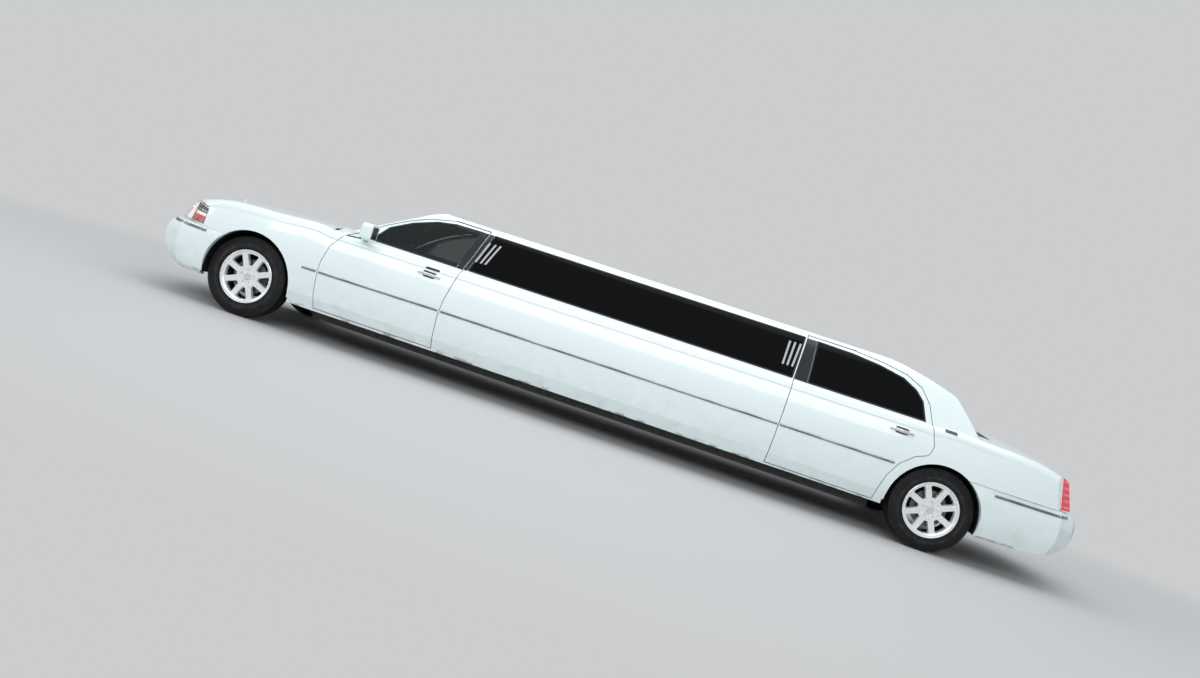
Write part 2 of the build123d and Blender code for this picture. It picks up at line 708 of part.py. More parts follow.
def bumper_form(rows, place, reach, plan, wall):
    """A bumper's outer form: plan outlines stacked by height, from the wheel arch round the car's end."""
    end_sign = math.copysign(1, reach)
    corner, flank_place, root_place, heel_place = plan
    with BuildPart() as form:
        for z, back, flank in rows:
            tip = reach - end_sign * (back + wall)
            bend_x = corner[0] - end_sign * (back + wall)
            bend_y = corner[1] - flank - 0.6 * wall
            side_x = flank_place[0] - end_sign * 0.4 * (back + wall)
            side_y = flank_place[1] - flank - 0.8 * wall
            root = place(root_place[0])
            root_y = root_place[1] - flank - 0.8 * wall
            heel = place(heel_place[0])
            heel_y = heel_place[1] - flank - 0.8 * wall
            with BuildSketch(Plane.XY.offset(z)):
                with BuildLine():
                    Line((root, -root_y), (heel, -heel_y))
                    Line((heel, -heel_y), (heel, heel_y))
                    Line((heel, heel_y), (root, root_y))
                    Line((root, root_y), (place(side_x), side_y))
                    Line((place(side_x), side_y), (place(bend_x), bend_y))
                    ThreePointArc((place(bend_x), bend_y), (place(tip), 0), (place(bend_x), -bend_y))
                    Line((place(bend_x), -bend_y), (place(side_x), -side_y))
                    Line((place(side_x), -side_y), (root, -root_y))
                make_face()
        loft()
    return form.part


intake_half = 340.0
intake_low = 312.0
intake_high = 392.0
intake_radius = 26.0
intake_cut = front_prism([(-intake_half, intake_low), (intake_half, intake_low), (intake_half + 30, intake_high),
                          (-intake_half - 30, intake_high)], ahead(800), ahead(front_overhang + 20), intake_radius)
with BuildPart() as front_bumper:
    add(bumper_form(front_bumper_rows, ahead, front_overhang, front_bumper_plan, 0))
    add(bumper_form(front_bumper_rows, ahead, front_overhang, front_bumper_plan, bumper_wall), mode=Mode.SUBTRACT)
    for side in (-1, 1):
        add(block(ahead(800) + seat_gap, ahead(930), side * end_rail_y - 35, side * end_rail_y + 35, 420, 480))
    add(block(ahead(1000), ahead(front_overhang), -158, 158, 452, 566))
    add(plate_holes(ahead(930), ahead(front_overhang + 20), front_plate_z), mode=Mode.SUBTRACT)
    add(intake_cut, mode=Mode.SUBTRACT)
    add(front_arch, mode=Mode.SUBTRACT)
    add(mirrored(front_arch), mode=Mode.SUBTRACT)
    add(front_recess, mode=Mode.SUBTRACT)
    add(mirrored(front_recess), mode=Mode.SUBTRACT)
save(front_bumper, "front_bumper")

bumper_belly = side_prism(placed([(-100, 0), (-100, 250), (-820, 262), (-1025, 294), (-1170, 332), (-1500, 345),
                                  (-1500, 0)], behind), -1100, 1100)
with BuildPart() as rear_bumper:
    add(bumper_form(rear_bumper_rows, behind, -rear_overhang, rear_bumper_plan, 0))
    add(bumper_form(rear_bumper_rows, behind, -rear_overhang, rear_bumper_plan, bumper_wall), mode=Mode.SUBTRACT)
    for side in (-1, 1):
        add(block(behind(-1300), behind(-1195) - seat_gap, side * end_rail_y - 35, side * end_rail_y + 35, 385, 445))
    add(bumper_belly, mode=Mode.SUBTRACT)
    add(rear_arch, mode=Mode.SUBTRACT)
    add(mirrored(rear_arch), mode=Mode.SUBTRACT)
    add(rear_recess, mode=Mode.SUBTRACT)
    add(mirrored(rear_recess), mode=Mode.SUBTRACT)
save(rear_bumper, "rear_bumper")

# Grille: a surround with upright bars between the headlamps
grille_half = 422.0
grille_bottom = bumper_joint + 4
bar_pitch = 34.0
with BuildPart() as grille_face:
    add(nose_solid.part)
    add(block(ahead(640), ahead(1100), -grille_half, grille_half, grille_bottom, lamp_top + 4), mode=Mode.INTERSECT)
with BuildPart() as grille_bars:
    with GridLocations(bar_pitch, bar_pitch, 1, 23):
        with Locations((ahead(800), 0, (grille_bottom + lamp_top) / 2)):
            Box(300, 9, lamp_top - grille_bottom)
with BuildPart() as grille:
    add(grille_face.part)
    add(block(ahead(600), ahead(1100), -grille_half + 30, grille_half - 30, grille_bottom + 24, lamp_top - 22),
        mode=Mode.SUBTRACT)
    add(block(ahead(600), ahead(700), -500, 500, 500, 1000), mode=Mode.SUBTRACT)
with BuildPart() as bar_field:
    add(grille_bars.part)
    add(grille_face.part, mode=Mode.INTERSECT)
    add(block(ahead(600), ahead(730), -500, 500, 500, 1000), mode=Mode.SUBTRACT)
with BuildPart() as grille_piece:
    add(grille.part)
    add(bar_field.part)
save(grille_piece, "grille")

# Floor: firewall, toe board, cabin floor, seat riser and trunk floor, with the tunnel over the shaft
floor_top = 318.0
floor_sheet = 14.0
trunk_floor = 470.0
tunnel_half = 120.0
tunnel_top = 400.0
hump_half = 180.0
hump_top = 478.0
firewall_x = ahead(-560)
tunnel_end = behind(402)
with BuildPart() as floor_pan:
    with BuildSketch(Plane.XZ.offset(-(cabin_half - seat_gap))):
        with BuildLine():
            Polyline((firewall_x, 914), (firewall_x - floor_sheet, 914), (firewall_x - floor_sheet, 480),
                     (ahead(-760), floor_top), (behind(470), floor_top), (behind(440), floor_top - floor_sheet),
                     (ahead(-755), floor_top - floor_sheet), (firewall_x, 470), close=True)
        make_face()
    extrude(amount=2 * (cabin_half - seat_gap))
    add(block(ahead(-1020), firewall_x, -hump_half, hump_half, floor_top - floor_sheet, hump_top))
    add(block(tunnel_end, ahead(-1000), -tunnel_half, tunnel_half, floor_top - floor_sheet, tunnel_top))
    add(block(ahead(-1006), firewall_x + 10, floor_sheet - hump_half, hump_half - floor_sheet, 200,
              hump_top - floor_sheet), mode=Mode.SUBTRACT)
    add(block(tunnel_end - 10, ahead(-1000), floor_sheet - tunnel_half, tunnel_half - floor_sheet, 200,
              tunnel_top - floor_sheet), mode=Mode.SUBTRACT)
    add(hinge_pillar, mode=Mode.SUBTRACT)
    add(mirrored(hinge_pillar), mode=Mode.SUBTRACT)
save(floor_pan, "floor_pan")

trunk_half = 632.0
with BuildPart() as trunk_tub:
    with BuildSketch(Plane.XZ.offset(-trunk_half)):
        with BuildLine():
            Polyline((behind(440), floor_top - floor_sheet), (behind(470), floor_top), (behind(330), 500),
                     (behind(120), trunk_floor + 50), (behind(-1046), trunk_floor), (behind(-1046), 660),
                     (behind(-1060), 660), (behind(-1060), trunk_floor - floor_sheet),
                     (behind(115), trunk_floor + 34), (behind(318), 486), close=True)
        make_face()
    extrude(amount=2 * trunk_half)
    add(block(behind(300), behind(500), -tunnel_half, tunnel_half, 200, tunnel_top), mode=Mode.SUBTRACT)
    add(block(behind(-1150), behind(-1050), -40, 40, 640, tail_lamp_bottom + 6 - seat_gap))
save(trunk_tub, "trunk_floor")

# Wheel housings: arched liners closed on their inner side
liner_sheet = 6.0


def liner(x, z, radius, y_in, y_out, low):
    """One left wheel housing: a half drum open at the bottom and towards the wheel's side."""
    with BuildPart() as form:
        add(tube_across(x, z, radius + liner_sheet, y_in - liner_sheet, y_out))
        add(tube_across(x, z, radius, y_in, y_out + 10), mode=Mode.SUBTRACT)
        add(block(x - 600, x + 600, y_in - 50, y_out + 50, z - 800, low), mode=Mode.SUBTRACT)
    return form.part


with BuildPart() as front_liner:
    add(liner(ahead(-6), axle_height, front_arch_radius + liner_space - liner_sheet, 502, 925, 430))
    add(block(ahead(-95), ahead(95), 480, 520, 400, 530), mode=Mode.SUBTRACT)
with BuildPart() as wheel_liners:
    add(keep_both(front_liner.part))
    add(keep_both(liner(behind(4), axle_height - 5, rear_arch_radius + liner_space - liner_sheet, 640, 930, 440)))
save(wheel_liners, "wheel_liners")

# Frame: perimeter rails, torque boxes and cross-members


def rail(points, y, width):
    """A left frame rail from its side-view outline, centred on y."""
    return side_prism(points, y - width / 2, y + width / 2)


front_rail = [(ahead(800), 400), (ahead(800), 500), (ahead(420), 500), (ahead(-120), 500), (ahead(-520), 292),
              (ahead(-700), 292), (ahead(-700), 182), (ahead(-470), 182), (ahead(-100), 400), (ahead(420), 400)]
rear_rail = [(behind(560), 182), (behind(560), 292), (behind(448), 292), (behind(310), 470), (behind(-1195), 452),
             (behind(-1195), 374), (behind(-420), 388), (behind(262), 395), (behind(400), 182)]
with BuildPart() as frame_half:
    add(rail(front_rail, end_rail_y, rail_width))
    add(rail(rear_rail, end_rail_y, rail_width))
    add(block(behind(460), ahead(-600), mid_rail_y - rail_width / 2, mid_rail_y + rail_width / 2, 182, 292))
    add(block(ahead(-700), ahead(-600), end_rail_y - 42, mid_rail_y + rail_width / 2, 182, 292))
    add(block(behind(460), behind(560), end_rail_y - 42, mid_rail_y + rail_width / 2, 182, 292))
cross_places = [ahead(-1500), ahead(-2600), ahead(-3700), behind(1200)]
cross_top = 214.0
with BuildPart() as frame:
    add(keep_both(frame_half.part))
    for x in cross_places:
        add(block(x - 45, x + 45, -mid_rail_y, mid_rail_y, 184, cross_top))
    add(block(ahead(-30), ahead(70), -end_rail_y, end_rail_y, 400, 455))
    add(block(ahead(700), ahead(780), -end_rail_y, end_rail_y, 410, 490))
    add(block(behind(-1190), behind(-1110), -end_rail_y, end_rail_y, 380, 446))
    add(block(ahead(-700), ahead(-620), -end_rail_y, end_rail_y, 182, 196))
save(frame, "frame")

# Engine with its gearbox, as one plain block, and the radiator
with BuildPart() as engine:
    add(block(ahead(-330), ahead(330), -290, 290, 465, 820))
    add(block(ahead(-540), ahead(-330), -210, 210, 420, 640))
save(engine, "engine")
shaft_radius = 44.0
shaft_height = 300.0
gearbox_tail = ahead(-1290)
with BuildPart() as gearbox:
    with BuildSketch(Plane.XZ):
        with BuildLine():
            Polyline((gearbox_tail, shaft_height), (gearbox_tail, shaft_height + 60),
                     (ahead(-1040), shaft_height + 70), (ahead(-700), shaft_height + 98),
                     (ahead(-700), shaft_height), close=True)
        make_face()
    revolve(axis=Axis((0, 0, shaft_height), (1, 0, 0)))
    add(block(ahead(-700), ahead(-520), -150, 150, 250, 420))
save(gearbox, "gearbox")
radiator_half = end_rail_y - rail_width / 2 - seat_gap
with BuildPart() as radiator:
    add(block(ahead(560), ahead(620), -radiator_half, radiator_half, 420, 830))
save(radiator, "radiator")

# Rear axle with its shaft, stub ends and trailing arms
with BuildPart() as rear_axle:
    add(tube_across(behind(0), axle_height, 42, -rear_track / 2 + hub_gap, rear_track / 2 - hub_gap))
    add(tube_across(behind(0), axle_height, stub_radius, -rear_track / 2 - stub_reach, rear_track / 2 + stub_reach))
    with Locations((behind(0), 0, axle_height)):
        Sphere(150)
    add(block(behind(100), behind(190), -60, 60, axle_height - 100, axle_height - 5))
    with BuildSketch(Plane(origin=(behind(150), 0, shaft_height), x_dir=(0, 1, 0), z_dir=(1, 0, 0))):
        Circle(shaft_radius)
    extrude(amount=gearbox_tail - seat_gap - behind(150))
    for side in (-1, 1):
        add(block(behind(0), behind(460) - seat_gap, side * 520 - 25, side * 520 + 25, 240, 300))
        with BuildSketch(Plane.XY.offset(axle_height)):
            with Locations((behind(-40), side * 545)):
                Circle(38)
        extrude(amount=trunk_floor + 20 - axle_height)
        add(block(behind(-60), behind(20), side * 545 - 30, side * 545 + 30, axle_height - 105, axle_height + 30))
save(rear_axle, "rear_axle")

# Wheels: one row for each, with its name, its place, its track and the side it stands on
wheel_rows = [
    ("front_left", ahead(0), front_track, 1),
    ("front_right", ahead(0), front_track, -1),
    ("rear_left", behind(0), rear_track, 1),
    ("rear_right", behind(0), rear_track, -1),
]
rim_width = 190.0
disc_radius = 150.0
disc_thickness = 24.0
tyre_shoulder = 12.5


def tyre_form(x, track, side):
    """A tyre as a turned ring with flat tread, slanting shoulders and sidewalls."""
    half = tyre_width / 2
    bead = half - tyre_shoulder
    tread = half - tyre_shoulder - 10
    with BuildPart() as form:
        with BuildSketch(Plane(origin=(x, side * track / 2, axle_height), x_dir=(0, 1, 0), z_dir=(-1, 0, 0))):
            with BuildLine():
                Polyline((-bead, rim_radius), (bead, rim_radius), (half, rim_radius + 58), (tread, tyre_radius),
                         (-tread, tyre_radius), (-half, rim_radius + 58), close=True)
            make_face()
        revolve(axis=Axis((x, 0, axle_height), (0, 1, 0)))
    return form.part


spoke_half = 21.0            # half the width of a spoke, which keeps the same width out to the rim
window_inner = 88.0
window_outer = 178.0
with BuildSketch() as rim_window:
    half_pitch = math.pi / spoke_count
    inner_y = window_inner * math.tan(half_pitch) - spoke_half / math.cos(half_pitch)
    outer_x = 0.945 * window_outer
    outer_y = outer_x * math.tan(half_pitch) - spoke_half / math.cos(half_pitch)
    with BuildLine():
        Polyline((outer_x, -outer_y), (window_inner, -inner_y), (window_inner, inner_y), (outer_x, outer_y))
        ThreePointArc((outer_x, outer_y), (window_outer, 0), (outer_x, -outer_y))
    make_face()


def rim_form(x, track, side):
    """A cast wheel: barrel, eight broad spokes with windows between, hub, and the brake disc behind."""
    half = rim_width / 2
    seat = tyre_width / 2 - tyre_shoulder + 3.2
    lip = seat + 5
    face = half - 18
    with BuildPart() as form:
        with BuildSketch(Plane(origin=(x, side * track / 2, axle_height), x_dir=(0, side, 0), z_dir=(-side, 0, 0))):
            with BuildLine():
                Polyline((-lip, rim_radius + 12), (-lip, rim_radius - 22), (face - 30, rim_radius - 34),
                         (face - 26, 70), (-hub_face + disc_thickness, 64), (-hub_face + disc_thickness, disc_radius),
                         (-hub_face, disc_radius), (-hub_face, hub_bore_radius), (stub_reach + 1, hub_bore_radius),
                         (stub_reach + 1, 0), (face - 2, 0), (face - 2, 52), (face - 12, 74),
                         (face - 3, rim_radius - 32), (lip, rim_radius - 12), (lip, rim_radius + 12),
                         (seat, rim_radius + 12), (seat, rim_radius - seat_gap), (-seat, rim_radius - seat_gap),
                         (-seat, rim_radius + 12), close=True)
            make_face()
        revolve(axis=Axis((x, 0, axle_height), (0, 1, 0)))
        hub_plane = Plane(origin=(x, side * (track / 2 + half + 60), axle_height), x_dir=(1, 0, 0),
                          z_dir=(0, -side, 0))
        with BuildSketch(hub_plane):
            with PolarLocations(0, spoke_count, start_angle=22.5):
                add(rim_window.sketch)
        extrude(amount=half + 60 - (face - 45), mode=Mode.SUBTRACT)
    return form.part


for wheel_name, wheel_x, wheel_track, wheel_side in wheel_rows:
    with BuildPart() as tyre:
        add(tyre_form(wheel_x, wheel_track, wheel_side))
    save(tyre, f"tyre_{wheel_name}")
    with BuildPart() as rim:
        add(rim_form(wheel_x, wheel_track, wheel_side))
    save(rim, f"rim_{wheel_name}")

# Steering knuckles: an upright bored on the kingpin's line for the arms' studs, a stub axle and a brake caliper
kingpin_y = front_track / 2 - kingpin_offset
stud_radius = 12.0
stud_bore = 12.06
knuckle_low = 212.0
knuckle_high = 483.0
arm_gap = 5.0
with BuildPart() as knuckle_left:
    add(block(ahead(-30), ahead(30), kingpin_y - 26, front_track / 2 - hub_gap, knuckle_low, knuckle_high))
    add(tube_across(ahead(0), axle_height, stub_radius, kingpin_y, front_track / 2 + stub_reach))
    add(block(ahead(-166), ahead(0), kingpin_y - 4, front_track / 2 - 16, 302, 388))
    add(block(ahead(-166), ahead(-100), kingpin_y - 4, front_track / 2 + 36, 302, 388))
    add(tube_across(ahead(0), axle_height, disc_radius + 6, front_track / 2 - hub_face - 6,
                    front_track / 2 + disc_thickness - hub_face + 6), mode=Mode.SUBTRACT)
    add(block(ahead(20), ahead(150), kingpin_y - 26, kingpin_y - 2, 262, 286))
    for z_low, z_high in ((knuckle_low, knuckle_low + 24), (knuckle_high - 24, knuckle_high)):
        with BuildSketch(Plane.XY.offset(z_low)):
            with Locations((ahead(0), kingpin_y)):
                Circle(stud_bore)
        extrude(amount=z_high - z_low, mode=Mode.SUBTRACT)
    add(tube_across(ahead(0), axle_height, stub_radius, front_track / 2 - hub_gap - 1, front_track / 2 + stub_reach))
with BuildPart() as knuckle_right:
    add(mirrored(knuckle_left.part))
save(knuckle_left, "knuckle_left")
save(knuckle_right, "knuckle_right")

# Front suspension: a cross-member under the rails, and upper and lower arms that end in upright studs
arm_low = knuckle_low - arm_gap
arm_high = knuckle_high + arm_gap
with BuildPart() as suspension_half:
    add(block(ahead(-60), ahead(60), 0, 440, 215, 300))
    add(block(ahead(-60), ahead(60), end_rail_y - 40, end_rail_y + 30, 215, 400))
    add(plan_prism([(ahead(-120), 400), (ahead(120), 400), (ahead(22), kingpin_y - 10), (ahead(16), kingpin_y + 16),
                    (ahead(-16), kingpin_y + 16), (ahead(-22), kingpin_y - 10)], arm_low - 24, arm_low))
    add(block(ahead(-120), ahead(120), 400, 430, arm_low - 24, 240))
    add(plan_prism([(ahead(-80), end_rail_y + 43), (ahead(80), end_rail_y + 43), (ahead(20), kingpin_y - 10),
                    (ahead(14), kingpin_y + 16), (ahead(-14), kingpin_y + 16), (ahead(-20), kingpin_y - 10)],
                   arm_high, arm_high + 20))
    for z_low, z_high in ((arm_low - 4, knuckle_low + 20), (knuckle_high - 20, arm_high + 4)):
        with BuildSketch(Plane.XY.offset(z_low)):
            with Locations((ahead(0), kingpin_y)):
                Circle(stud_radius)
        extrude(amount=z_high - z_low)
with BuildPart() as front_suspension:
    add(keep_both(suspension_half.part))
save(front_suspension, "front_suspension")

# Exhaust and fuel tank
pipe_radius = 26.0
with BuildPart() as exhaust:
    with BuildLine() as pipe_line:
        FilletPolyline((ahead(-1000), 250, 262), (behind(440), 250, 262), (behind(240), 290, 424),
                       (behind(-260), 290, 424), (behind(-620), 290, 350), radius=120)
    with BuildSketch(Plane(origin=pipe_line.line @ 0, z_dir=pipe_line.line % 0)):
        Circle(pipe_radius)
    sweep()
    with Locations((behind(-850), 270, 350)):
        Box(470, 190, 110)
    with BuildSketch(Plane(origin=(behind(-1080), 300, 322), x_dir=(0, 1, 0), z_dir=(-1, 0, 0))):
        Circle(pipe_radius)
    extrude(amount=110)
    add(block(behind(-820), behind(-780), 360, end_rail_y - rail_width / 2 - seat_gap, 386, 402))
    add(block(ahead(-2615), ahead(-2585), 240, 260, cross_top + seat_gap, 240))
save(exhaust, "exhaust")
with BuildPart() as fuel_tank:
    add(block(behind(-560), behind(-210), -330, 200, 300, 476))
save(fuel_tank, "fuel_tank")

# Dashboard with the steering wheel on its column
wheel_place = (ahead(-1010), 385, 905)
wheel_tilt = 24.0
with BuildPart() as dashboard:
    add(side_prism([(firewall_x - floor_sheet, 620), (firewall_x - floor_sheet, 945), (ahead(-860), 945),
                    (ahead(-860), 1000), (ahead(-930), 985), (ahead(-958), 900), (ahead(-910), 720),
                    (ahead(-800), 620)], -790, 790))
    wheel_plane = Plane(Location(wheel_place, (0, -90 + wheel_tilt, 0)))
    with Locations(wheel_plane.location):
        Torus(180, 15)
        Box(14, 350, 14)
        Cylinder(42, 30)
        with Locations((0, 0, -75)):
            Cylinder(34, 150)
save(dashboard, "dashboard")

# Seats, partition and bar
seat_back_foot = ahead(-1560)
tunnel_space = block(tunnel_end, ahead(-1020), -tunnel_half, tunnel_half, 200, tunnel_top)


def seat_profile(x, facing, cushion, back_height, lean):
    """A seat's side outline: base, cushion and back, with x at the back's foot."""
    return [(x, floor_top), (x + facing * cushion, floor_top), (x + facing * (cushion + 20), 490),
            (x + facing * 60, 455), (x + facing * 60, 480), (x - facing * (lean - 70), back_height),
            (x - facing * lean, back_height), (x - facing * 60, 460)]


with BuildPart() as front_seats:
    for side in (-1, 1):
        add(side_prism(seat_profile(seat_back_foot, 1, 490, 1050, 200), side * 385 - 260, side * 385 + 260))
        add(block(seat_back_foot - 205, seat_back_foot - 120, side * 385 - 125, side * 385 + 125, 1045, 1215))
save(front_seats, "front_seats")

partition_x = ahead(-1925)
with BuildPart() as partition:
    add(front_prism([(-850, floor_top), (850, floor_top), (850, 930), (836, 1010), (685, 1300), (-685, 1300),
                     (-836, 1010), (-850, 930)], partition_x - 20, partition_x + 20))
    add(block(partition_x - 30, partition_x + 30, -390, 390, 960, 1240), mode=Mode.SUBTRACT)
    add(tunnel_space, mode=Mode.SUBTRACT)
save(partition, "partition")

lounge_front = ahead(-2010)
lounge_back = behind(1150)
with BuildPart() as lounge_seats:
    add(side_prism(seat_profile(behind(480), 1, 480, 1000, 150), -640, 640))
    add(front_prism([(-854, floor_top), (-420, floor_top), (-400, 470), (-700, 450), (-740, 860), (-854, 860)],
                    lounge_back, lounge_front))
    add(tunnel_space, mode=Mode.SUBTRACT)
save(lounge_seats, "lounge_seats")
with BuildPart() as bar_console:
    add(front_prism([(854, floor_top), (600, floor_top), (600, 700), (640, 760), (854, 760)],
                    behind(1700), ahead(-2120)))
save(bar_console, "bar_console")
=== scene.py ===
"""Looks of a white stretch limousine: paint, glass, bright metal, tyres, lamps, cabin trim and the studio."""
import json
import math

import bmesh
import bpy
from bpy.props import FloatProperty, FloatVectorProperty, IntProperty, PointerProperty
from mathutils import Matrix, Vector
from mathutils.bvhtree import BVHTree


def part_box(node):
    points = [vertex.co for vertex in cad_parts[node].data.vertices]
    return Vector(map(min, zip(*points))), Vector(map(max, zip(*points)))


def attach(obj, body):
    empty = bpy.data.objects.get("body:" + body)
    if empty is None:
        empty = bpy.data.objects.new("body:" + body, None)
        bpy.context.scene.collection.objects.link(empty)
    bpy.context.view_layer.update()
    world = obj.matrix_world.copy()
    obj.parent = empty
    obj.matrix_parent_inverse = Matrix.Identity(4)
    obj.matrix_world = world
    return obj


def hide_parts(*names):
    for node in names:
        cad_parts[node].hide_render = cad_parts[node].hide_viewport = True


bl_info = {
    "name": "Stretch limousine looks",
    "version": (1, 0, 0),
    "blender": (4, 5, 0),
    "location": "View3D > Sidebar > Limousine",
    "description": "Dresses the limousine's frame with paint, glass, bright trim, tyres and cabin",
    "category": "Object",
}

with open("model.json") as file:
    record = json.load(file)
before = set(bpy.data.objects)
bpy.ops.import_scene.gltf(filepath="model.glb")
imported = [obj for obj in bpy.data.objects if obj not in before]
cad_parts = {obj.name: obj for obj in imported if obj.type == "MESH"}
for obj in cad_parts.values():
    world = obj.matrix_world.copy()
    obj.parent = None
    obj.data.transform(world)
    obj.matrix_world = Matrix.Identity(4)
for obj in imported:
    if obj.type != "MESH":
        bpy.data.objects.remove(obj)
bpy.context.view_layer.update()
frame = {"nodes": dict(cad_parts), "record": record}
nodes = frame["nodes"]
WHEELS = ("front_left", "front_right", "rear_left", "rear_right")


def middle(node, axis):
    """The middle of a node's box on one axis."""
    low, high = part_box(node)
    return (low[axis] + high[axis]) / 2


front_axle = middle("rim_front_left", 0)
rear_axle = middle("rim_rear_left", 0)
axle_height = middle("rim_front_left", 2)


def ahead(distance):
    """A place along the car, in metres ahead of the front axle."""
    return front_axle + distance


def behind(distance):
    """A place along the car, in metres ahead of the rear axle, so that places behind it are negative."""
    return rear_axle + distance


def front_places(*places):
    """Places in the side view, each by its distance ahead of the front axle and its height."""
    return [(ahead(x), z) for x, z in places]


def rear_places(*places):
    """The same from the rear axle."""
    return [(behind(x), z) for x, z in places]


def wheel_place(name):
    """A wheel's centre, and 1 on the car's left or -1 on its right."""
    low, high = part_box("tyre_" + name)
    side = 1 if name.endswith("left") else -1
    return (low + high) / 2, side


def wheel_body(name):
    """The name of the body that a wheel turns with."""
    end, side = name.split("_")
    return f"{end}_wheel_{side}"


# Node trees


class Value:
    """A node's output, so that shader maths reads as plain expressions."""

    def __init__(self, graph, socket):
        self.graph = graph
        self.socket = socket

    def maths(self, operation, *others):
        """A Math node on this value and others."""
        return self.graph.node("ShaderNodeMath", {"operation": operation}, self, *others)

    def __add__(self, other):
        return self.maths("ADD", other)

    def __sub__(self, other):
        return self.maths("SUBTRACT", other)

    def __rsub__(self, other):
        return self.graph.node("ShaderNodeMath", {"operation": "SUBTRACT"}, other, self)

    def __mul__(self, other):
        return self.maths("MULTIPLY", other)

    def __gt__(self, other):
        return self.maths("GREATER_THAN", other)

    def __lt__(self, other):
        return self.maths("LESS_THAN", other)

    __radd__ = __add__
    __rmul__ = __mul__

    def size(self):
        """The value without its sign."""
        return self.maths("ABSOLUTE")

    def within(self, low, high):
        """1 between two limits and 0 outside them."""
        return (self > low) * (self < high)

    def clipped(self):
        """The same value kept between 0 and 1."""
        return self.graph.node("ShaderNodeClamp", {}, self)

    def ramp(self, low, high):
        """0 below low and 1 above high, with a straight climb between."""
        return self.graph.node("ShaderNodeMapRange", {"clamp": True}, self, low, high, 0.0, 1.0)


class Graph:
    """A node tree that is filled by calls."""

    def __init__(self, tree):
        self.tree = tree

    def node(self, kind, settings, *values, output=0, **named):
        """A node of that type with its settings, and its inputs in order or by name."""
        made = self.tree.nodes.new(kind)
        for key, value in settings.items():
            setattr(made, key, value)
        free = [socket for socket in made.inputs if socket.enabled]
        for socket, value in zip(free, values):
            self.feed(socket, value)
        for key, value in named.items():
            self.feed(made.inputs[key.replace("_", " ")], value)
        if isinstance(output, str):
            return Value(self, made.outputs[output])
        return Value(self, [socket for socket in made.outputs if socket.enabled][output])

    def feed(self, socket, value):
        """Links a value to a socket, or sets a plain number or colour on it."""
        if isinstance(value, Value):
            self.tree.links.new(value.socket, socket)
        elif socket.type == "RGBA" and len(value) == 3:
            socket.default_value = (*value, 1.0)
        else:
            socket.default_value = value


class Paint(Graph):
    """One material's node tree."""

    def __init__(self, name):
        self.material = bpy.data.materials.new(name)
        self.material.use_nodes = True
        super().__init__(self.material.node_tree)
        self.shader = self.tree.nodes["Principled BSDF"]

    def set(self, **sockets):
        """Feeds the surface shader's sockets: Base_Color stands for Base Color."""
        for name, value in sockets.items():
            self.feed(self.shader.inputs[name.replace("_", " ")], value)

    def place(self, scale=None):
        """Object coordinates, stretched where a scale is given."""
        coordinates = self.node("ShaderNodeTexCoord", {}, output="Object")
        return self.node("ShaderNodeMapping", {}, coordinates, Scale=scale) if scale else coordinates

    def axis(self, name):
        """One object coordinate, X, Y or Z."""
        return self.node("ShaderNodeSeparateXYZ", {}, self.place(), output=name)

    def noise(self, size, detail=3.0, scale=None, rough=0.5):
        """A smooth random value between 0 and 1 with features about size metres across."""
        return self.node("ShaderNodeTexNoise", {}, self.place(scale), Scale=1.0 / size, Detail=detail,
                         Roughness=rough)

    def pebbles(self, scale):
        """The distance to the nearest of many random points, as a leather grain."""
        return self.node("ShaderNodeTexVoronoi", {}, self.place(), Scale=scale)

    def rim(self):
        """More towards the edges of a pane seen aslant, as glass reflects."""
        return self.node("ShaderNodeFresnel", {}, IOR=1.45)

    def blend(self, low, high, share):
        """A colour between two colours."""
        return self.node("ShaderNodeMix", {"data_type": "RGBA"}, share, low, high)

    def bump(self, height, depth):
        """A normal that follows a height in metres."""
        return self.node("ShaderNodeBump", {}, Height=height, Distance=depth, Strength=1.0)


# Finishes

materials = {}


def finish_of(name):
    """Returns the material, made once by the row or function of that name in FINISHES."""
    if name not in materials:
        paint = Paint(name)
        FINISHES[name](paint)
        materials[name] = paint.material
    return materials[name]


def worn(low, high, noise, rough, ramp=None, share=None, **constants):
    """A finish whose colour and roughness, as (span, least), both follow one noise, the colour by a share."""

    def dress(paint):
        wear = paint.noise(*noise)
        if ramp:
            wear = wear.ramp(*ramp)
        paint.set(Base_Color=paint.blend(low, high, wear * share if share else wear),
                  Roughness=wear * rough[0] + rough[1], **constants)
    return dress


def cabin_lining(x, y, z):
    """1 on the faces that line the cabin, which are the inner faces of doors, pillars and roof."""
    climb = (ahead(-0.64) - x) * 0.0085
    fall = (behind(1.10) - x).maths("MAXIMUM", 0.0)
    walls = (y < 0.866) * x.within(behind(0.101), ahead(-0.591)) * z.within(0.26, 0.985)
    side = y < 0.912 - 0.4215 * (z - 0.89 - climb)
    ceiling = z < 1.38 + climb * 0.65 - y * y * 0.049 - fall * 0.03 - fall * fall * 0.14
    screen = x < ahead(-0.5) - 1.813 * (z - 0.93) - y * y * 0.23
    light = x > behind(-0.425) + 1.47 * (z - 0.95) + y * y * 0.278
    return (walls + (z > 0.95) * side * ceiling * screen * light).clipped()


def handle_cup_shade(x, z, along, height):
    """1 on the recess behind a door's pull, seen from the side, where painted shade darkens the paint."""
    return (x - along).size().within(0.0, 0.0605) * (z - height).size().within(0.0, 0.0275)


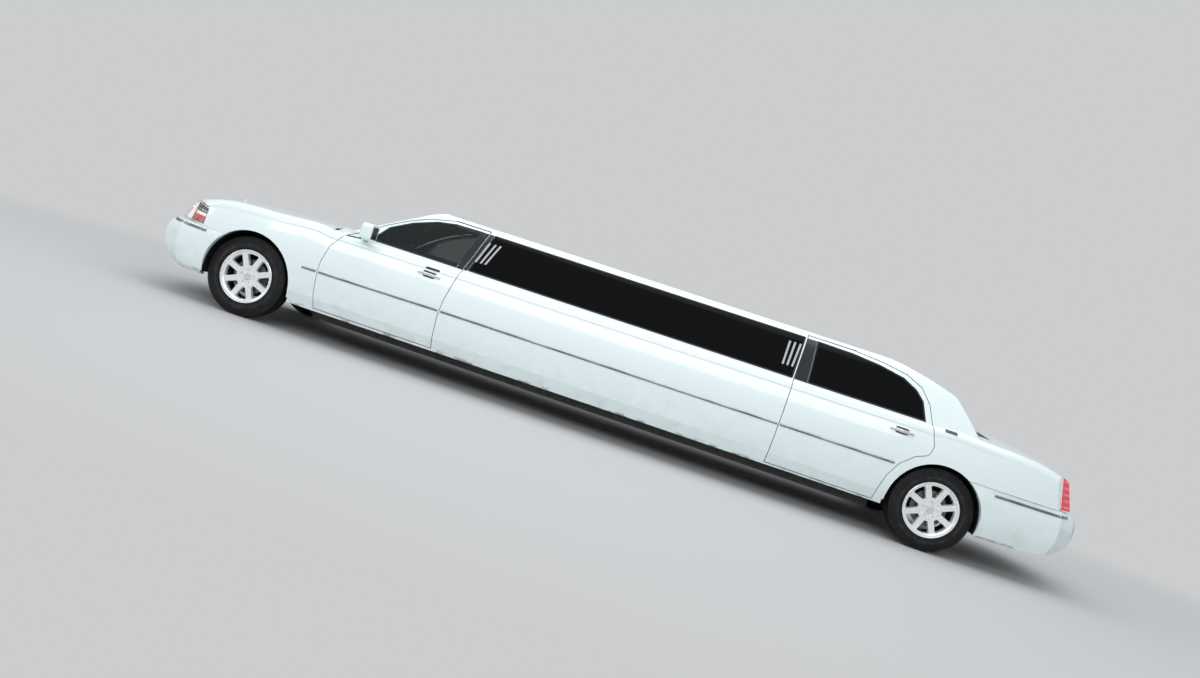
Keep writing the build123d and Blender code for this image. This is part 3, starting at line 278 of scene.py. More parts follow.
def body_paint(paint):
    """White enamel under clear lacquer, grimy low down, with painted shade in the handle cups and grey lining
    inside.
    """
    sizes = bpy.context.scene.limousine_paint
    x, y, z = paint.axis("X"), paint.axis("Y").size(), paint.axis("Z")
    lining = cabin_lining(x, y, z)
    # Painted shade: the recesses behind the door pulls are darkened almost to black.
    cup_shade = handle_cup_shade(x, z, ahead(-1.522), 0.860) + handle_cup_shade(x, z, behind(0.432), 0.883)
    cup_shade = y.within(0.935, 0.9585) * cup_shade
    dust = (1.0 - z.ramp(0.22, 0.62)) * paint.noise(0.12, 5.0).ramp(0.42, 0.75)
    scuffs = (1.0 - z.ramp(0.262, 0.285)) * paint.noise(0.05, 6.0, (0.4, 1.0, 1.0)).ramp(0.52, 0.60)
    peel = paint.noise(0.006, 2.0)
    ripple = paint.noise(0.35, 1.0, (0.25, 1.0, 1.0))
    enamel = paint.blend(tuple(sizes.white), tuple(sizes.dust), dust * 0.35)
    # The dark grey stands both for real scuffs low down and for painted shade in the handle cups.
    scuffed_and_shaded = paint.blend(enamel, (0.10, 0.10, 0.10), (scuffs * 0.7 + cup_shade * 0.95).clipped())
    paint.set(Base_Color=paint.blend(scuffed_and_shaded, tuple(sizes.lining), lining),
              Roughness=(dust * 0.25 + 0.24 + lining * 0.5).clipped(),
              Coat_Weight=1.0 - lining, Coat_Roughness=0.04, Specular_IOR_Level=0.5,
              Normal=paint.bump(peel * 0.00006 + ripple * 0.0006, 1.0))


def black_rubber(paint):
    """Matte black rubber and plastic of seals and trim."""
    grain = paint.noise(0.0015, 2.0)
    paint.set(Base_Color=paint.blend((0.010, 0.010, 0.011), (0.022, 0.022, 0.023), paint.noise(0.05, 4.0)),
              Roughness=grain * 0.15 + 0.55, Normal=paint.bump(grain, 0.0002))


def mirror_glass(paint):
    """Silvered glass."""
    paint.set(Base_Color=(0.75, 0.77, 0.78), Metallic=1.0, Roughness=paint.noise(0.04, 3.0) * 0.03 + 0.02)


def clear_glass(paint):
    """Lightly tinted pane that shows the cabin."""
    paint.set(Base_Color=(0.012, 0.016, 0.016), Roughness=paint.noise(0.25, 3.0) * 0.02 + 0.01,
              Alpha=(paint.rim() * 0.8 + 0.46).clipped(), Specular_IOR_Level=0.6)


def lamp_lens(paint):
    """Clear lens of the headlamps."""
    paint.set(Base_Color=(0.80, 0.84, 0.84), Roughness=paint.noise(0.05, 3.0) * 0.03 + 0.02,
              Alpha=(paint.rim() * 0.7 + 0.03).clipped(), Specular_IOR_Level=0.6)


def tail_lens(paint):
    """Bright red lens, with a column of paler facets over the bulbs and fine upright flutes."""
    x, y, z = paint.axis("X"), paint.axis("Y").size(), paint.axis("Z")
    flute = (y * 900.0 + x * 900.0).maths("SINE")
    row = (z * 126.0 + 0.6).maths("SINE")
    across = 1.0 - (y - 0.79 + (z - 0.68) * 0.12).size().ramp(0.020, 0.055)
    pale = row.ramp(0.2, 0.9) * across
    dark = row.ramp(-0.1, -1.0)
    red = paint.blend((0.66, 0.003, 0.040), (0.92, 0.09, 0.17), pale)
    glow = paint.blend((0.62, 0.0, 0.035), (0.90, 0.06, 0.13), pale)
    paint.set(Base_Color=paint.blend(red, (0.42, 0.002, 0.025), dark * 0.7), Roughness=dark * 0.1 + 0.08,
              Coat_Weight=0.3, Coat_Roughness=0.05, Emission_Color=glow, Emission_Strength=0.30,
              Normal=paint.bump(flute, 0.0006))


def amber_lens(paint):
    """Red-orange marker plastic with upright flutes."""
    flute = (paint.axis("X") * 700.0).maths("SINE")
    paint.set(Base_Color=paint.blend((0.70, 0.045, 0.025), (0.52, 0.025, 0.02), paint.noise(0.02)),
              Roughness=paint.noise(0.01) * 0.05 + 0.08, Coat_Weight=1.0, Coat_Roughness=0.03,
              Normal=paint.bump(flute, 0.0005))


def lamp_bowl(paint):
    """Warm bright reflector behind the headlamps' lenses, whose glow also serves as a painted highlight on
    the tail bezels.
    """
    facet = paint.noise(0.018, 2.0)
    paint.set(Base_Color=paint.blend((0.96, 0.88, 0.81), (0.84, 0.74, 0.67), facet), Metallic=0.15,
              Roughness=facet * 0.15 + 0.2, Emission_Color=(1.0, 0.87, 0.77), Emission_Strength=0.22,
              Normal=paint.bump(facet, 0.003))


def tyre_rubber(paint):
    """Worn black rubber with a dusty bloom, and a greyer ring where the sidewall bulges that is a painted
    highlight.
    """
    bloom = paint.noise(0.05, 5.0)
    grain = paint.noise(0.002, 2.0)
    x, up = paint.axis("X"), paint.axis("Z") - axle_height
    along = ((x - (front_axle + rear_axle) / 2).size() - (front_axle - rear_axle) / 2).size()
    reach = (along * along + up * up).maths("SQRT")
    # Painted highlight: a paler ring round the sidewall's bulge, mixed with the dusty bloom.
    ring = 1.0 - (reach - 0.266).size().ramp(0.002, 0.012)
    dust_and_highlight = (bloom.ramp(0.45, 0.8) * 0.45 + ring * bloom.ramp(0.2, 0.6) * 0.55).clipped()
    paint.set(Base_Color=paint.blend((0.004, 0.004, 0.005), (0.034, 0.035, 0.037), dust_and_highlight),
              Roughness=bloom * 0.2 + 0.55, Specular_IOR_Level=0.3, Normal=paint.bump(grain, 0.0002))


def cabin_trim(paint):
    """Moulded soft trim with a fine pebble grain."""
    tone = paint.noise(0.3, 3.0)
    paint.set(Base_Color=paint.blend((0.030, 0.030, 0.031), (0.055, 0.054, 0.052), tone),
              Roughness=tone * 0.1 + 0.55, Normal=paint.bump(paint.pebbles(450.0), 0.0004))


def seat_leather(paint):
    """Dark grey leather with a pebbled grain and shiny wear."""
    wear = paint.noise(0.12, 4.0).ramp(0.4, 0.75)
    paint.set(Base_Color=paint.blend((0.10, 0.095, 0.09), (0.17, 0.16, 0.15), wear),
              Roughness=0.55 - wear * 0.15, Normal=paint.bump(paint.pebbles(320.0), 0.0005))


def bar_wood(paint):
    """Varnished dark wood with grain along the car."""
    rings = paint.noise(0.012, 6.0, (0.06, 1.0, 1.0), 0.65)
    paint.set(Base_Color=paint.blend((0.040, 0.014, 0.006), (0.16, 0.065, 0.025), rings.ramp(0.35, 0.7)),
              Roughness=rings * 0.1 + 0.2, Coat_Weight=0.8, Coat_Roughness=0.06)


def under_coat(paint):
    """Black chassis paint with dried mud and rust blooms."""
    mud = paint.noise(0.06, 6.0).ramp(0.48, 0.72)
    rust = paint.noise(0.025, 5.0).ramp(0.60, 0.78)
    base = paint.blend((0.016, 0.016, 0.016), (0.060, 0.050, 0.040), mud)
    paint.set(Base_Color=paint.blend(base, (0.11, 0.038, 0.014), rust * 0.5), Roughness=mud * 0.2 + 0.6,
              Normal=paint.bump(mud, 0.001))


def exhaust_steel(paint):
    """Dull steel tube with heat tint and rust."""
    rust = paint.noise(0.05, 6.0).ramp(0.45, 0.75)
    paint.set(Base_Color=paint.blend((0.28, 0.26, 0.24), (0.15, 0.06, 0.03), rust),
              Metallic=1.0 - rust * 0.7, Roughness=rust * 0.3 + 0.35)


def cast_metal(paint):
    """Grey cast metal of engine and gearbox."""
    grain = paint.noise(0.003, 3.0)
    oil = paint.noise(0.08, 4.0).ramp(0.5, 0.75)
    paint.set(Base_Color=paint.blend((0.26, 0.26, 0.26), (0.05, 0.045, 0.04), oil), Metallic=0.6,
              Roughness=oil * 0.1 + 0.5, Normal=paint.bump(grain, 0.0005))


def studio_floor(paint):
    """Pale floor that keeps the object's shadow and passes into the backdrop's colour further away."""
    sizes = bpy.context.scene.limousine_stage
    paint.set(Base_Color=tuple(sizes.floor), Roughness=0.9, Specular_IOR_Level=0.1)
    x, y = paint.axis("X") * 0.62, paint.axis("Y")
    reach = (x * x + y * y).maths("SQRT")
    seen = paint.node("ShaderNodeLightPath", {}, output="Is Camera Ray")
    plain = paint.node("ShaderNodeEmission", {}, Color=tuple(sizes.backdrop), Strength=1.0)
    mixed = paint.node("ShaderNodeMixShader", {}, reach.ramp(sizes.fade_from, sizes.fade_to) * seen,
                       Value(paint, paint.shader.outputs[0]), plain)
    paint.tree.links.new(mixed.socket, paint.tree.nodes["Material Output"].inputs["Surface"])


FINISHES = {
    # Gloss black film and plastic, bright plated metal, and dulled bright strips whose dark grey and lighter
    # stretches along them are painted reflection
    "black_gloss": worn((0.004, 0.004, 0.005), (0.010, 0.010, 0.011), (0.08, 4.0), (0.08, 0.12),
                        Coat_Weight=0.5, Coat_Roughness=0.1),
    "chrome": worn((0.80, 0.81, 0.82), (0.93, 0.94, 0.95), (0.03, 4.0), (0.10, 0.06), Metallic=1.0),
    # Painted reflection: dark grey broken by lighter stretches along the car, standing for what the bright
    # strip mirrors.
    "strip_metal": worn((0.20, 0.205, 0.21), (0.42, 0.43, 0.44), (0.05, 4.0, (0.2, 1.0, 1.0)),
                        (0.2, 0.18), (0.4, 0.7), Metallic=1.0),
    # Almost black privacy glass, and a plain pale enamelled sheet
    "dark_glass": worn((0.001, 0.001, 0.0012), (0.003, 0.003, 0.0035), (0.4, 3.0), (0.05, 0.03),
                       Alpha=0.985, Specular_IOR_Level=0.12),
    "blank_plate": worn((0.72, 0.72, 0.70), (0.48, 0.46, 0.43), (0.04, 5.0), (0.2, 0.35), (0.45, 0.8),
                        0.4),
    # Machined wheel with a fine haze, a near-black wheel barrel that is painted shade behind the windows with
    # brake dust on it, and a disc with rings turned by its pads
    "wheel_metal": worn((0.93, 0.94, 0.94), (0.66, 0.66, 0.65), (0.05, 5.0), (0.15, 0.24), (0.5, 0.85),
                        0.35, Metallic=0.6),
    # Painted shade: the barrel is near black so that the windows between the spokes read as shaded; the
    # lighter blotches are brake dust.
    "dark_cast": worn((0.010, 0.010, 0.010), (0.035, 0.032, 0.029), (0.03, 4.0), (0.2, 0.5), Metallic=0.3),
    "brake_steel": worn((0.10, 0.10, 0.10), (0.20, 0.19, 0.18), (0.01, 2.0, (1.0, 0.0, 1.0)), (0.2, 0.35),
                        Metallic=0.8),
}
for function in (body_paint, black_rubber, mirror_glass, clear_glass, lamp_lens, tail_lens, amber_lens,
                 lamp_bowl, tyre_rubber, cabin_trim, seat_leather, bar_wood, under_coat, exhaust_steel,
                 cast_metal, studio_floor):
    FINISHES[function.__name__] = function

# The finish of each of the frame's material slots that has another name
SLOT_FINISH = {
    "black_trim": "black_rubber",
    "liner_plastic": "black_rubber",
    "partition_trim": "cabin_trim",
    "bright_trim": "chrome",
    "floor_coat": "under_coat",
    "chassis_coat": "under_coat",
    "engine_metal": "cast_metal",
    "gearbox_metal": "cast_metal",
    "wheel_bright": "wheel_metal",
}


# Mesh building


def outward(mesh, merged):
    """The mesh with its faces pointing outwards, after its doubles are merged where asked."""
    work = bmesh.new()
    work.from_mesh(mesh)
    if merged:
        bmesh.ops.remove_doubles(work, verts=work.verts, dist=1e-6)
    bmesh.ops.recalc_face_normals(work, faces=work.faces)
    work.to_mesh(mesh)
    work.free()
    return mesh


def mesh_of(name, form):
    """A mesh from a form, which is a list of points and a list of faces."""
    mesh = bpy.data.meshes.new(name)
    mesh.from_pydata([tuple(point) for point in form[0]], [], form[1])
    return mesh


def linked(name, mesh):
    """The mesh as an object in the scene."""
    obj = bpy.data.objects.new(name, mesh)
    bpy.context.scene.collection.objects.link(obj)
    return obj


def riding(name, mesh, body, crease):
    """The mesh as a smooth object with sharp creases that rides on a body of the frame."""
    mesh.shade_smooth()
    mesh.set_sharp_from_angle(angle=math.radians(crease))
    obj = linked(name, mesh)
    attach(obj, body)
    return obj


def piece(name, form, finish, body="chassis", crease=35.0):
    """A finished piece from a form."""
    mesh = outward(mesh_of(name, form), True)
    mesh.materials.append(finish_of(finish))
    return riding(name, mesh, body, crease)


def form_of(work):
    """The form of a bmesh, which is freed."""
    points = [vertex.co.copy() for vertex in work.verts]
    work.verts.index_update()
    faces = [tuple(vertex.index for vertex in face.verts) for face in work.faces]
    work.free()
    return points, faces


def sweep(rows, closed=False):
    """A tube through rows of points, each row a closed ring, with its ends shut unless the tube is closed."""
    count = len(rows[0])
    points = [point for row in rows for point in row]
    faces = []
    for i in range(len(rows) if closed else len(rows) - 1):
        here, there = i * count, ((i + 1) % len(rows)) * count
        for j in range(count):
            k = (j + 1) % count
            faces.append((here + j, here + k, there + k, there + j))
    if not closed:
        faces.append(tuple(range(count)))
        faces.append(tuple((len(rows) - 1) * count + j for j in reversed(range(count))))
    return points, faces


def turned(profile, centre, steps, side):
    """A profile of (reach out along the axle, radius) at each step round an axle that lies across the car."""
    rows = []
    for i in range(steps):
        turn = 2 * math.pi * i / steps
        rows.append([Vector((centre[0] + radius * math.sin(turn), centre[1] + side * reach,
                             centre[2] + radius * math.cos(turn))) for reach, radius in profile])
    return rows


def lathe(profile, centre, steps, side=1):
    """A ring from a closed profile."""
    return sweep(turned(profile, centre, steps, side), closed=True)


def disc(profile, centre, steps, side=1):
    """The same for an open profile whose ends lie on the axle or on a round edge."""
    points = [point for row in turned(profile, centre, steps, side) for point in row]
    faces = []
    for i in range(steps):
        for j in range(len(profile) - 1):
            here, there = i * len(profile) + j, ((i + 1) % steps) * len(profile) + j
            faces.append((here, here + 1, there + 1, there))
    return points, faces


def round_lengthwise(profile, centre, steps):
    """A closed form turned round an axis along the car, from (place along the car, radius) rows."""
    points, faces = disc(profile, (0.0, 0.0, 0.0), steps)
    return [Vector((centre[0] + p.y, centre[1] + p.x, centre[2] + p.z)) for p in points], faces


def joined(*forms):
    """Several forms as one."""
    points, faces = [], []
    for more_points, more_faces in forms:
        start = len(points)
        points += more_points
        faces += [tuple(start + i for i in face) for face in more_faces]
    return points, faces


def on_both_sides(name, form, finish, body="chassis", crease=35.0):
    """A left piece and its mirror image, each on its own side's body where the body's name ends in left."""
    piece(name + "_left", form, finish, body, crease)
    points, faces = form
    mirrored = [Vector((p[0], -p[1], p[2])) for p in points], [tuple(reversed(face)) for face in faces]
    piece(name + "_right", mirrored, finish, body.replace("left", "right"), crease)


class Skin:
    """The surface of one of the frame's nodes, found by rays, so that trim lies on it."""

    # Where rays start, clear of the car on its left, above it and ahead of it
    beside, over, before = 2.0, 3.0, 8.0

    def __init__(self, name):
        node = nodes[name]
        points = [node.matrix_world @ vertex.co for vertex in node.data.vertices]
        self.tree = BVHTree.FromPolygons(points, [tuple(polygon.vertices) for polygon in node.data.polygons])
        self.reach = max(point.y for point in points)

    def meet(self, origin, direction):
        """Where a ray first meets the surface, and the outward normal there."""
        direction = Vector(direction).normalized()
        place, normal = self.tree.ray_cast(Vector(origin), direction)[:2]
        if place is None:
            raise RuntimeError(f"a ray from {tuple(origin)} meets nothing")
        return place, normal if normal.dot(direction) < 0 else -normal

    def side(self, x, z, slack=0.012):
        """The surface at that place along the car and height, from the left, or its edge within the slack."""
        place, normal = self.tree.ray_cast(Vector((x, self.beside, z)), Vector((0, -1, 0)))[:2]
        if place is None:
            near, normal = self.tree.find_nearest(Vector((x, self.reach, z)))[:2]
            if math.hypot(near.x - x, near.z - z) > slack:
                raise RuntimeError(f"no side surface at {x:.4f}, {z:.4f}")
            place = Vector((x, near.y, z))
        self.reach = place.y
        return place, normal if normal.y > 0 else -normal

    def above(self, x, y):
        """The surface at that place, seen from above."""
        return self.meet((x, y, self.over), (0, 0, -1))

    def front(self, y, z):
        """The surface at that place, seen from ahead."""
        return self.meet((self.before, y, z), (-1, 0, 0))


def between(low, high, share):
    """A value or a tuple part of the way from one to another."""
    if isinstance(low, (tuple, list)):
        return tuple(between(a, b, share) for a, b in zip(low, high))
    return low + (high - low) * share


def stations(rows, pitch):
    """Rows of numbers filled in so that neighbours lie no further apart than the pitch."""
    filled = [rows[0]]
    for low, high in zip(rows, rows[1:]):
        count = max(1, math.ceil(math.hypot(high[0] - low[0], high[1] - low[1]) / pitch))
        filled += [between(low, high, i / count) for i in range(1, count + 1)]
    return filled


def strip(skin, rows, section, pitch=0.06):
    """A moulding along the side, from rows of (x, z, half height) and a section of (share of it, lift)."""
    rings = []
    for x, z, half in stations(rows, pitch):
        ring = []
        for share, lift in section:
            place, normal = skin.side(x, z + share * half)
            ring.append(place + normal * lift)
        rings.append(ring)
    return sweep(rings)


def ruled(edge, count):
    """Points along an edge, at even shares of each of its stretches together."""
    stretches = len(edge) - 1
    for i in range(count + 1):
        k = min(int(stretches * i / count), stretches - 1)
        yield between(edge[k], edge[k + 1], stretches * i / count - k)


def patch(skin, first_edge, second_edge, lift, sink=0.0012, along=24, across=4, look="side"):
    """A closed sheet on the surface between two edges of points, met by one of the skin's looks."""
    meet = getattr(skin, look)
    rows = []
    for first, second in zip(ruled(first_edge, along), ruled(second_edge, along)):
        outer, inner = [], []
        for j in range(across + 1):
            place, normal = meet(*between(first, second, j / across))
            outer.append(place + normal * lift)
            inner.append(place - normal * sink)
        rows.append(outer + inner[::-1])
    return sweep(rows)


def drawn_in(outline, amount):
    """A closed outline of (x, z) points drawn in towards its middle by the same amount all round."""
    count = len(outline)
    centre = Vector((sum(x for x, z in outline) / count, sum(z for x, z in outline) / count))
    moved = []
    for i, place in enumerate(outline):
        here = Vector(place)
        normals = []
        for other in (Vector(outline[i - 1]), Vector(outline[(i + 1) % count])):
            along = (other - here).normalized()
            normal = Vector((-along.y, along.x))
            normals.append(normal if normal.dot(centre - here) > 0 else -normal)
        bisector = (normals[0] + normals[1]).normalized()
        moved.append(tuple(here + bisector * amount / max(0.45, bisector.dot(normals[0]))))
    return moved


def ring_on(skin, outline, width, lift, sink=0.002, pitch=0.05, margin=0.002):
    """A closed seal just inside a side-view outline of (x, z) points, lying on the surface."""
    rows = [(*first, *second) for first, second in zip(drawn_in(outline, margin), drawn_in(outline, width))]
    rows.append(rows[0])
    section = ((0.0, -sink), (0.08, lift), (0.9, lift * 0.8), (1.0, -sink))
    rings = []
    for x, z, x_in, z_in in stations(rows, pitch)[:-1]:
        ring = []
        for share, height in section:
            place, normal = skin.side(x + (x_in - x) * share, z + (z_in - z) * share)
            ring.append(place + normal * height)
        rings.append(ring)
    return sweep(rings, closed=True)


def rounded_block(low, high, radius, steps=3):
    """A block with rounded edges and corners."""
    work = bmesh.new()
    bmesh.ops.create_cube(work, size=1.0)
    for vertex in work.verts:
        vertex.co = Vector(between(a, b, c + 0.5) for a, b, c in zip(low, high, vertex.co))
    bmesh.ops.bevel(work, geom=work.edges[:], offset=radius, segments=steps, profile=0.5, affect="EDGES")
    return form_of(work)


def rounded_outline(corners, radii, steps=5):
    """A closed outline of points with each corner rounded by its own radius, or kept where that is 0."""
    points = []
    count = len(corners)
    for i, (corner, radius) in enumerate(zip(corners, radii)):
        if radius == 0:
            points.append(tuple(corner))
            continue
        here = Vector(corner)
        before = (Vector(corners[i - 1]) - here).normalized()
        after = (Vector(corners[(i + 1) % count]) - here).normalized()
        half = before.angle(after) / 2
        reach = radius / math.tan(half)
        centre = here + (before + after).normalized() * radius / math.sin(half)
        first, last = here + before * reach - centre, here + after * reach - centre
        turn = first.angle_signed(last)
        for j in range(steps + 1):
            points.append(tuple(centre + Matrix.Rotation(-turn * j / steps, 2) @ first))
    return points


def cut_through(form, cutter):
    """One closed form with another cut out of it."""
    kept, tool = [linked(name, outward(mesh_of(name, one), True))
                  for name, one in (("cut_form", form), ("cut_tool", cutter))]
    modifier = kept.modifiers.new("cut", "BOOLEAN")
    modifier.object = tool
    modifier.operation = "DIFFERENCE"
    modifier.solver = "EXACT"
    result = bpy.data.meshes.new_from_object(kept.evaluated_get(bpy.context.evaluated_depsgraph_get()))
    points = [vertex.co.copy() for vertex in result.vertices]
    faces = [tuple(polygon.vertices) for polygon in result.polygons]
    bpy.data.objects.remove(kept)
    bpy.data.objects.remove(tool)
    return points, faces


def pad(low, high, radius, crown, channels=(), along=0, thick=2, lean=0.0, cuts=34):
    """A crowned cushion between two corners, with sewn channels across it and a lean along the car."""
    work = bmesh.new()
    bmesh.ops.create_cube(work, size=2.0)
    bmesh.ops.subdivide_edges(work, edges=work.edges[:], cuts=cuts, use_grid_fill=True)
    low, high = Vector(low), Vector(high)
    half, centre = (high - low) / 2, (high + low) / 2
    groove_width, groove_depth = 0.010, 0.009
    for vertex in work.verts:
        share = vertex.co.copy()
        place = Vector(s * h for s, h in zip(share, half))
        inner = Vector(max(-h + radius, min(h - radius, p)) for p, h in zip(place, half))
        out = place - inner
        if out.length > 0:
            place = inner + out.normalized() * radius
        for axis in range(3):
            others = [share[i] for i in range(3) if i != axis]
            bulge = (1 - others[0] ** 2) * (1 - others[1] ** 2)
            place[axis] += share[axis] ** 3 * crown * (bulge if axis == thick else bulge * 0.35)
        edge = 1.0 - max(0.0, max(abs(share[i]) for i in range(3) if i not in (along, thick)) - 0.9) * 6
        for channel in channels:
            gap = (share[along] - channel) * half[along] / groove_width
            depth = math.copysign(1, share[thick]) * groove_depth * math.exp(-gap * gap) * edge
            place[thick] -= depth * share[thick] ** 2
        place += centre
        place.x -= lean * (place.z - low.z) / (high.z - low.z)
        vertex.co = place
    return form_of(work)


# Repeats

repeat_groups = {}


def repeat_group(round_axle):
    """Geometry nodes that repeat a mesh round an axle across the car, or along a straight row."""
    name = "repeat round an axle" if round_axle else "repeat along a row"
    if name in repeat_groups:
        return repeat_groups[name]
    tree = bpy.data.node_groups.new(name, "GeometryNodeTree")
    rows = [("Geometry", "NodeSocketGeometry"), ("Count", "NodeSocketInt"), ("Centre", "NodeSocketVector"),
            ("Step", "NodeSocketVector"), ("Finish", "NodeSocketMaterial")]
    for label, kind in rows:
        tree.interface.new_socket(label, in_out="INPUT", socket_type=kind)
    tree.interface.new_socket("Geometry", in_out="OUTPUT", socket_type="NodeSocketGeometry")
    graph = Graph(tree)
    given = tree.nodes.new("NodeGroupInput")
    unit, count, centre, step, finish = [Value(graph, given.outputs[label]) for label, kind in rows]
    index = graph.node("GeometryNodeInputIndex", {})
    moved = graph.node("ShaderNodeVectorMath", {"operation": "SCALE"}, Vector=step, Scale=index)
    if round_axle:
        place, turn = centre, {"Rotation": moved}
    else:
        place, turn = graph.node("ShaderNodeVectorMath", {"operation": "ADD"}, centre, moved), {}
    points = graph.node("GeometryNodePoints", {}, Count=count, Position=place)
    copies = graph.node("GeometryNodeInstanceOnPoints", {}, Points=points, Instance=unit, **turn)
    solid = graph.node("GeometryNodeRealizeInstances", {}, copies)
    dressed = graph.node("GeometryNodeSetMaterial", {}, Geometry=solid, Material=finish)
    result = tree.nodes.new("NodeGroupOutput")
    tree.links.new(dressed.socket, result.inputs[0])
    repeat_groups[name] = tree
    return tree


def repeated(name, form, count, centre, step, finish, body="chassis", round_axle=True):
    """A plain mesh of one form repeated count times, made by the geometry nodes and then frozen."""
    unit = linked(name + "_unit", mesh_of(name + "_unit", form))
    modifier = unit.modifiers.new("repeat", "NODES")
    modifier.node_group = repeat_group(round_axle)
    values = {"Count": count, "Centre": tuple(centre), "Step": tuple(step), "Finish": finish_of(finish)}
    for socket in modifier.node_group.interface.items_tree:
        if socket.in_out == "INPUT" and socket.name in values:
            modifier[socket.identifier] = values[socket.name]
    unit.update_tag()
    evaluated = unit.evaluated_get(bpy.context.evaluated_depsgraph_get())
    frozen = bpy.data.meshes.new_from_object(evaluated)
    unit.modifiers.remove(modifier)
    bpy.data.objects.remove(unit)
    frozen.name = name
    riding(name, outward(frozen, False), body, 35.0)


# Sizes and colours


def colour(name, about, value):
    """A colour that the panel shows."""
    return FloatVectorProperty(name=name, description=about, subtype="COLOR", default=value, min=0.0, max=1.0)


def length(name, about, value, **limits):
    """A length in metres that the panel shows."""
    return FloatProperty(name=name, description=about, default=value, unit="LENGTH", **limits)


def angle(name, about, degrees):
    """An angle that the panel shows."""
    return FloatProperty(name=name, description=about, default=math.radians(degrees), subtype="ANGLE")


def number(name, about, value, low, high):
    """A whole number that the panel shows."""
    return IntProperty(name=name, description=about, default=value, min=low, max=high)


class PaintSizes(bpy.types.PropertyGroup):
    """Colours of the paint."""

    white: colour("White", "Colour of the enamel", (0.775, 0.875, 0.88))
    dust: colour("Dust", "Colour of road dust on the sills", (0.42, 0.40, 0.37))
    lining: colour("Lining", "Colour of the cabin's lining", (0.13, 0.125, 0.12))


class WheelSizes(bpy.types.PropertyGroup):
    """Sizes of tyres and wheels."""

    tyre_steps: number("Tyre steps", "Faces round a tyre", 120, 24, 400)
    tread_pitches: number("Tread pitches", "Tread blocks round a tyre", 72, 8, 200)
    groove_depth: length("Groove depth", "Depth of the tread's grooves", 0.0075, min=0.001, max=0.02)
    lug_count: number("Lugs", "Lug nuts on a wheel", 5, 3, 10)
    wheel_steps: number("Wheel steps", "Faces round a wheel", 120, 24, 400)
    spoke_count: number("Spokes", "Spokes of a wheel", 8, 3, 24)
    spoke_width: length("Spoke width", "Width of a spoke", 0.054, min=0.01, max=0.1)
    window_radius: length("Window reach", "Outer radius of the windows", 0.193, min=0.12, max=0.2)


class TrimSizes(bpy.types.PropertyGroup):
    """Sizes of the bright strips."""

    strip_height: length("Strip height", "Height of the side mouldings", 0.022, min=0.004, max=0.1)
    strip_lift: length("Strip lift", "How far the mouldings stand out", 0.0065, min=0.001, max=0.02)


class StageSizes(bpy.types.PropertyGroup):
    """Camera and floor."""

    camera_x: length("Camera X", "Camera's place along the car", -0.350)
    camera_y: length("Camera Y", "Camera's distance to the car's left", 8.782)
    camera_z: length("Camera height", "Camera's height", 1.150)
    yaw: angle("Yaw", "Camera's turn towards the tail", 3.66)
    pitch: angle("Pitch", "Camera's tilt above the horizon", -2.51)
    roll: angle("Roll", "Camera's roll about its line of sight", 18.46)
    lens: FloatProperty(name="Lens", description="Focal length on a 36 mm sensor", default=28.5, min=1.0)
    floor: colour("Floor", "Colour of the floor", (0.54, 0.545, 0.55))
    backdrop: colour("Backdrop", "Colour behind the object", (0.60, 0.61, 0.62))
    fade_from: length("Fade from", "Where the floor starts to pass into the backdrop", 2.9)
    fade_to: length("Fade to", "Where the floor has the backdrop's colour", 5.6)


# Pieces


class DressNodes(bpy.types.Operator):
    """Gives every panel, pane and casting of the frame its finish"""

    bl_idname = "limousine.dress_nodes"
    bl_label = "Finish the frame's own pieces"

    def execute(self, context):
        slot_of = {row["node"]: row["material_slot"] for row in frame["record"]["subparts"]}
        for name, node in nodes.items():
            finish = finish_of(SLOT_FINISH.get(slot_of[name], slot_of[name]))
            node.data.materials.clear()
            node.data.materials.append(finish)
        return {"FINISHED"}


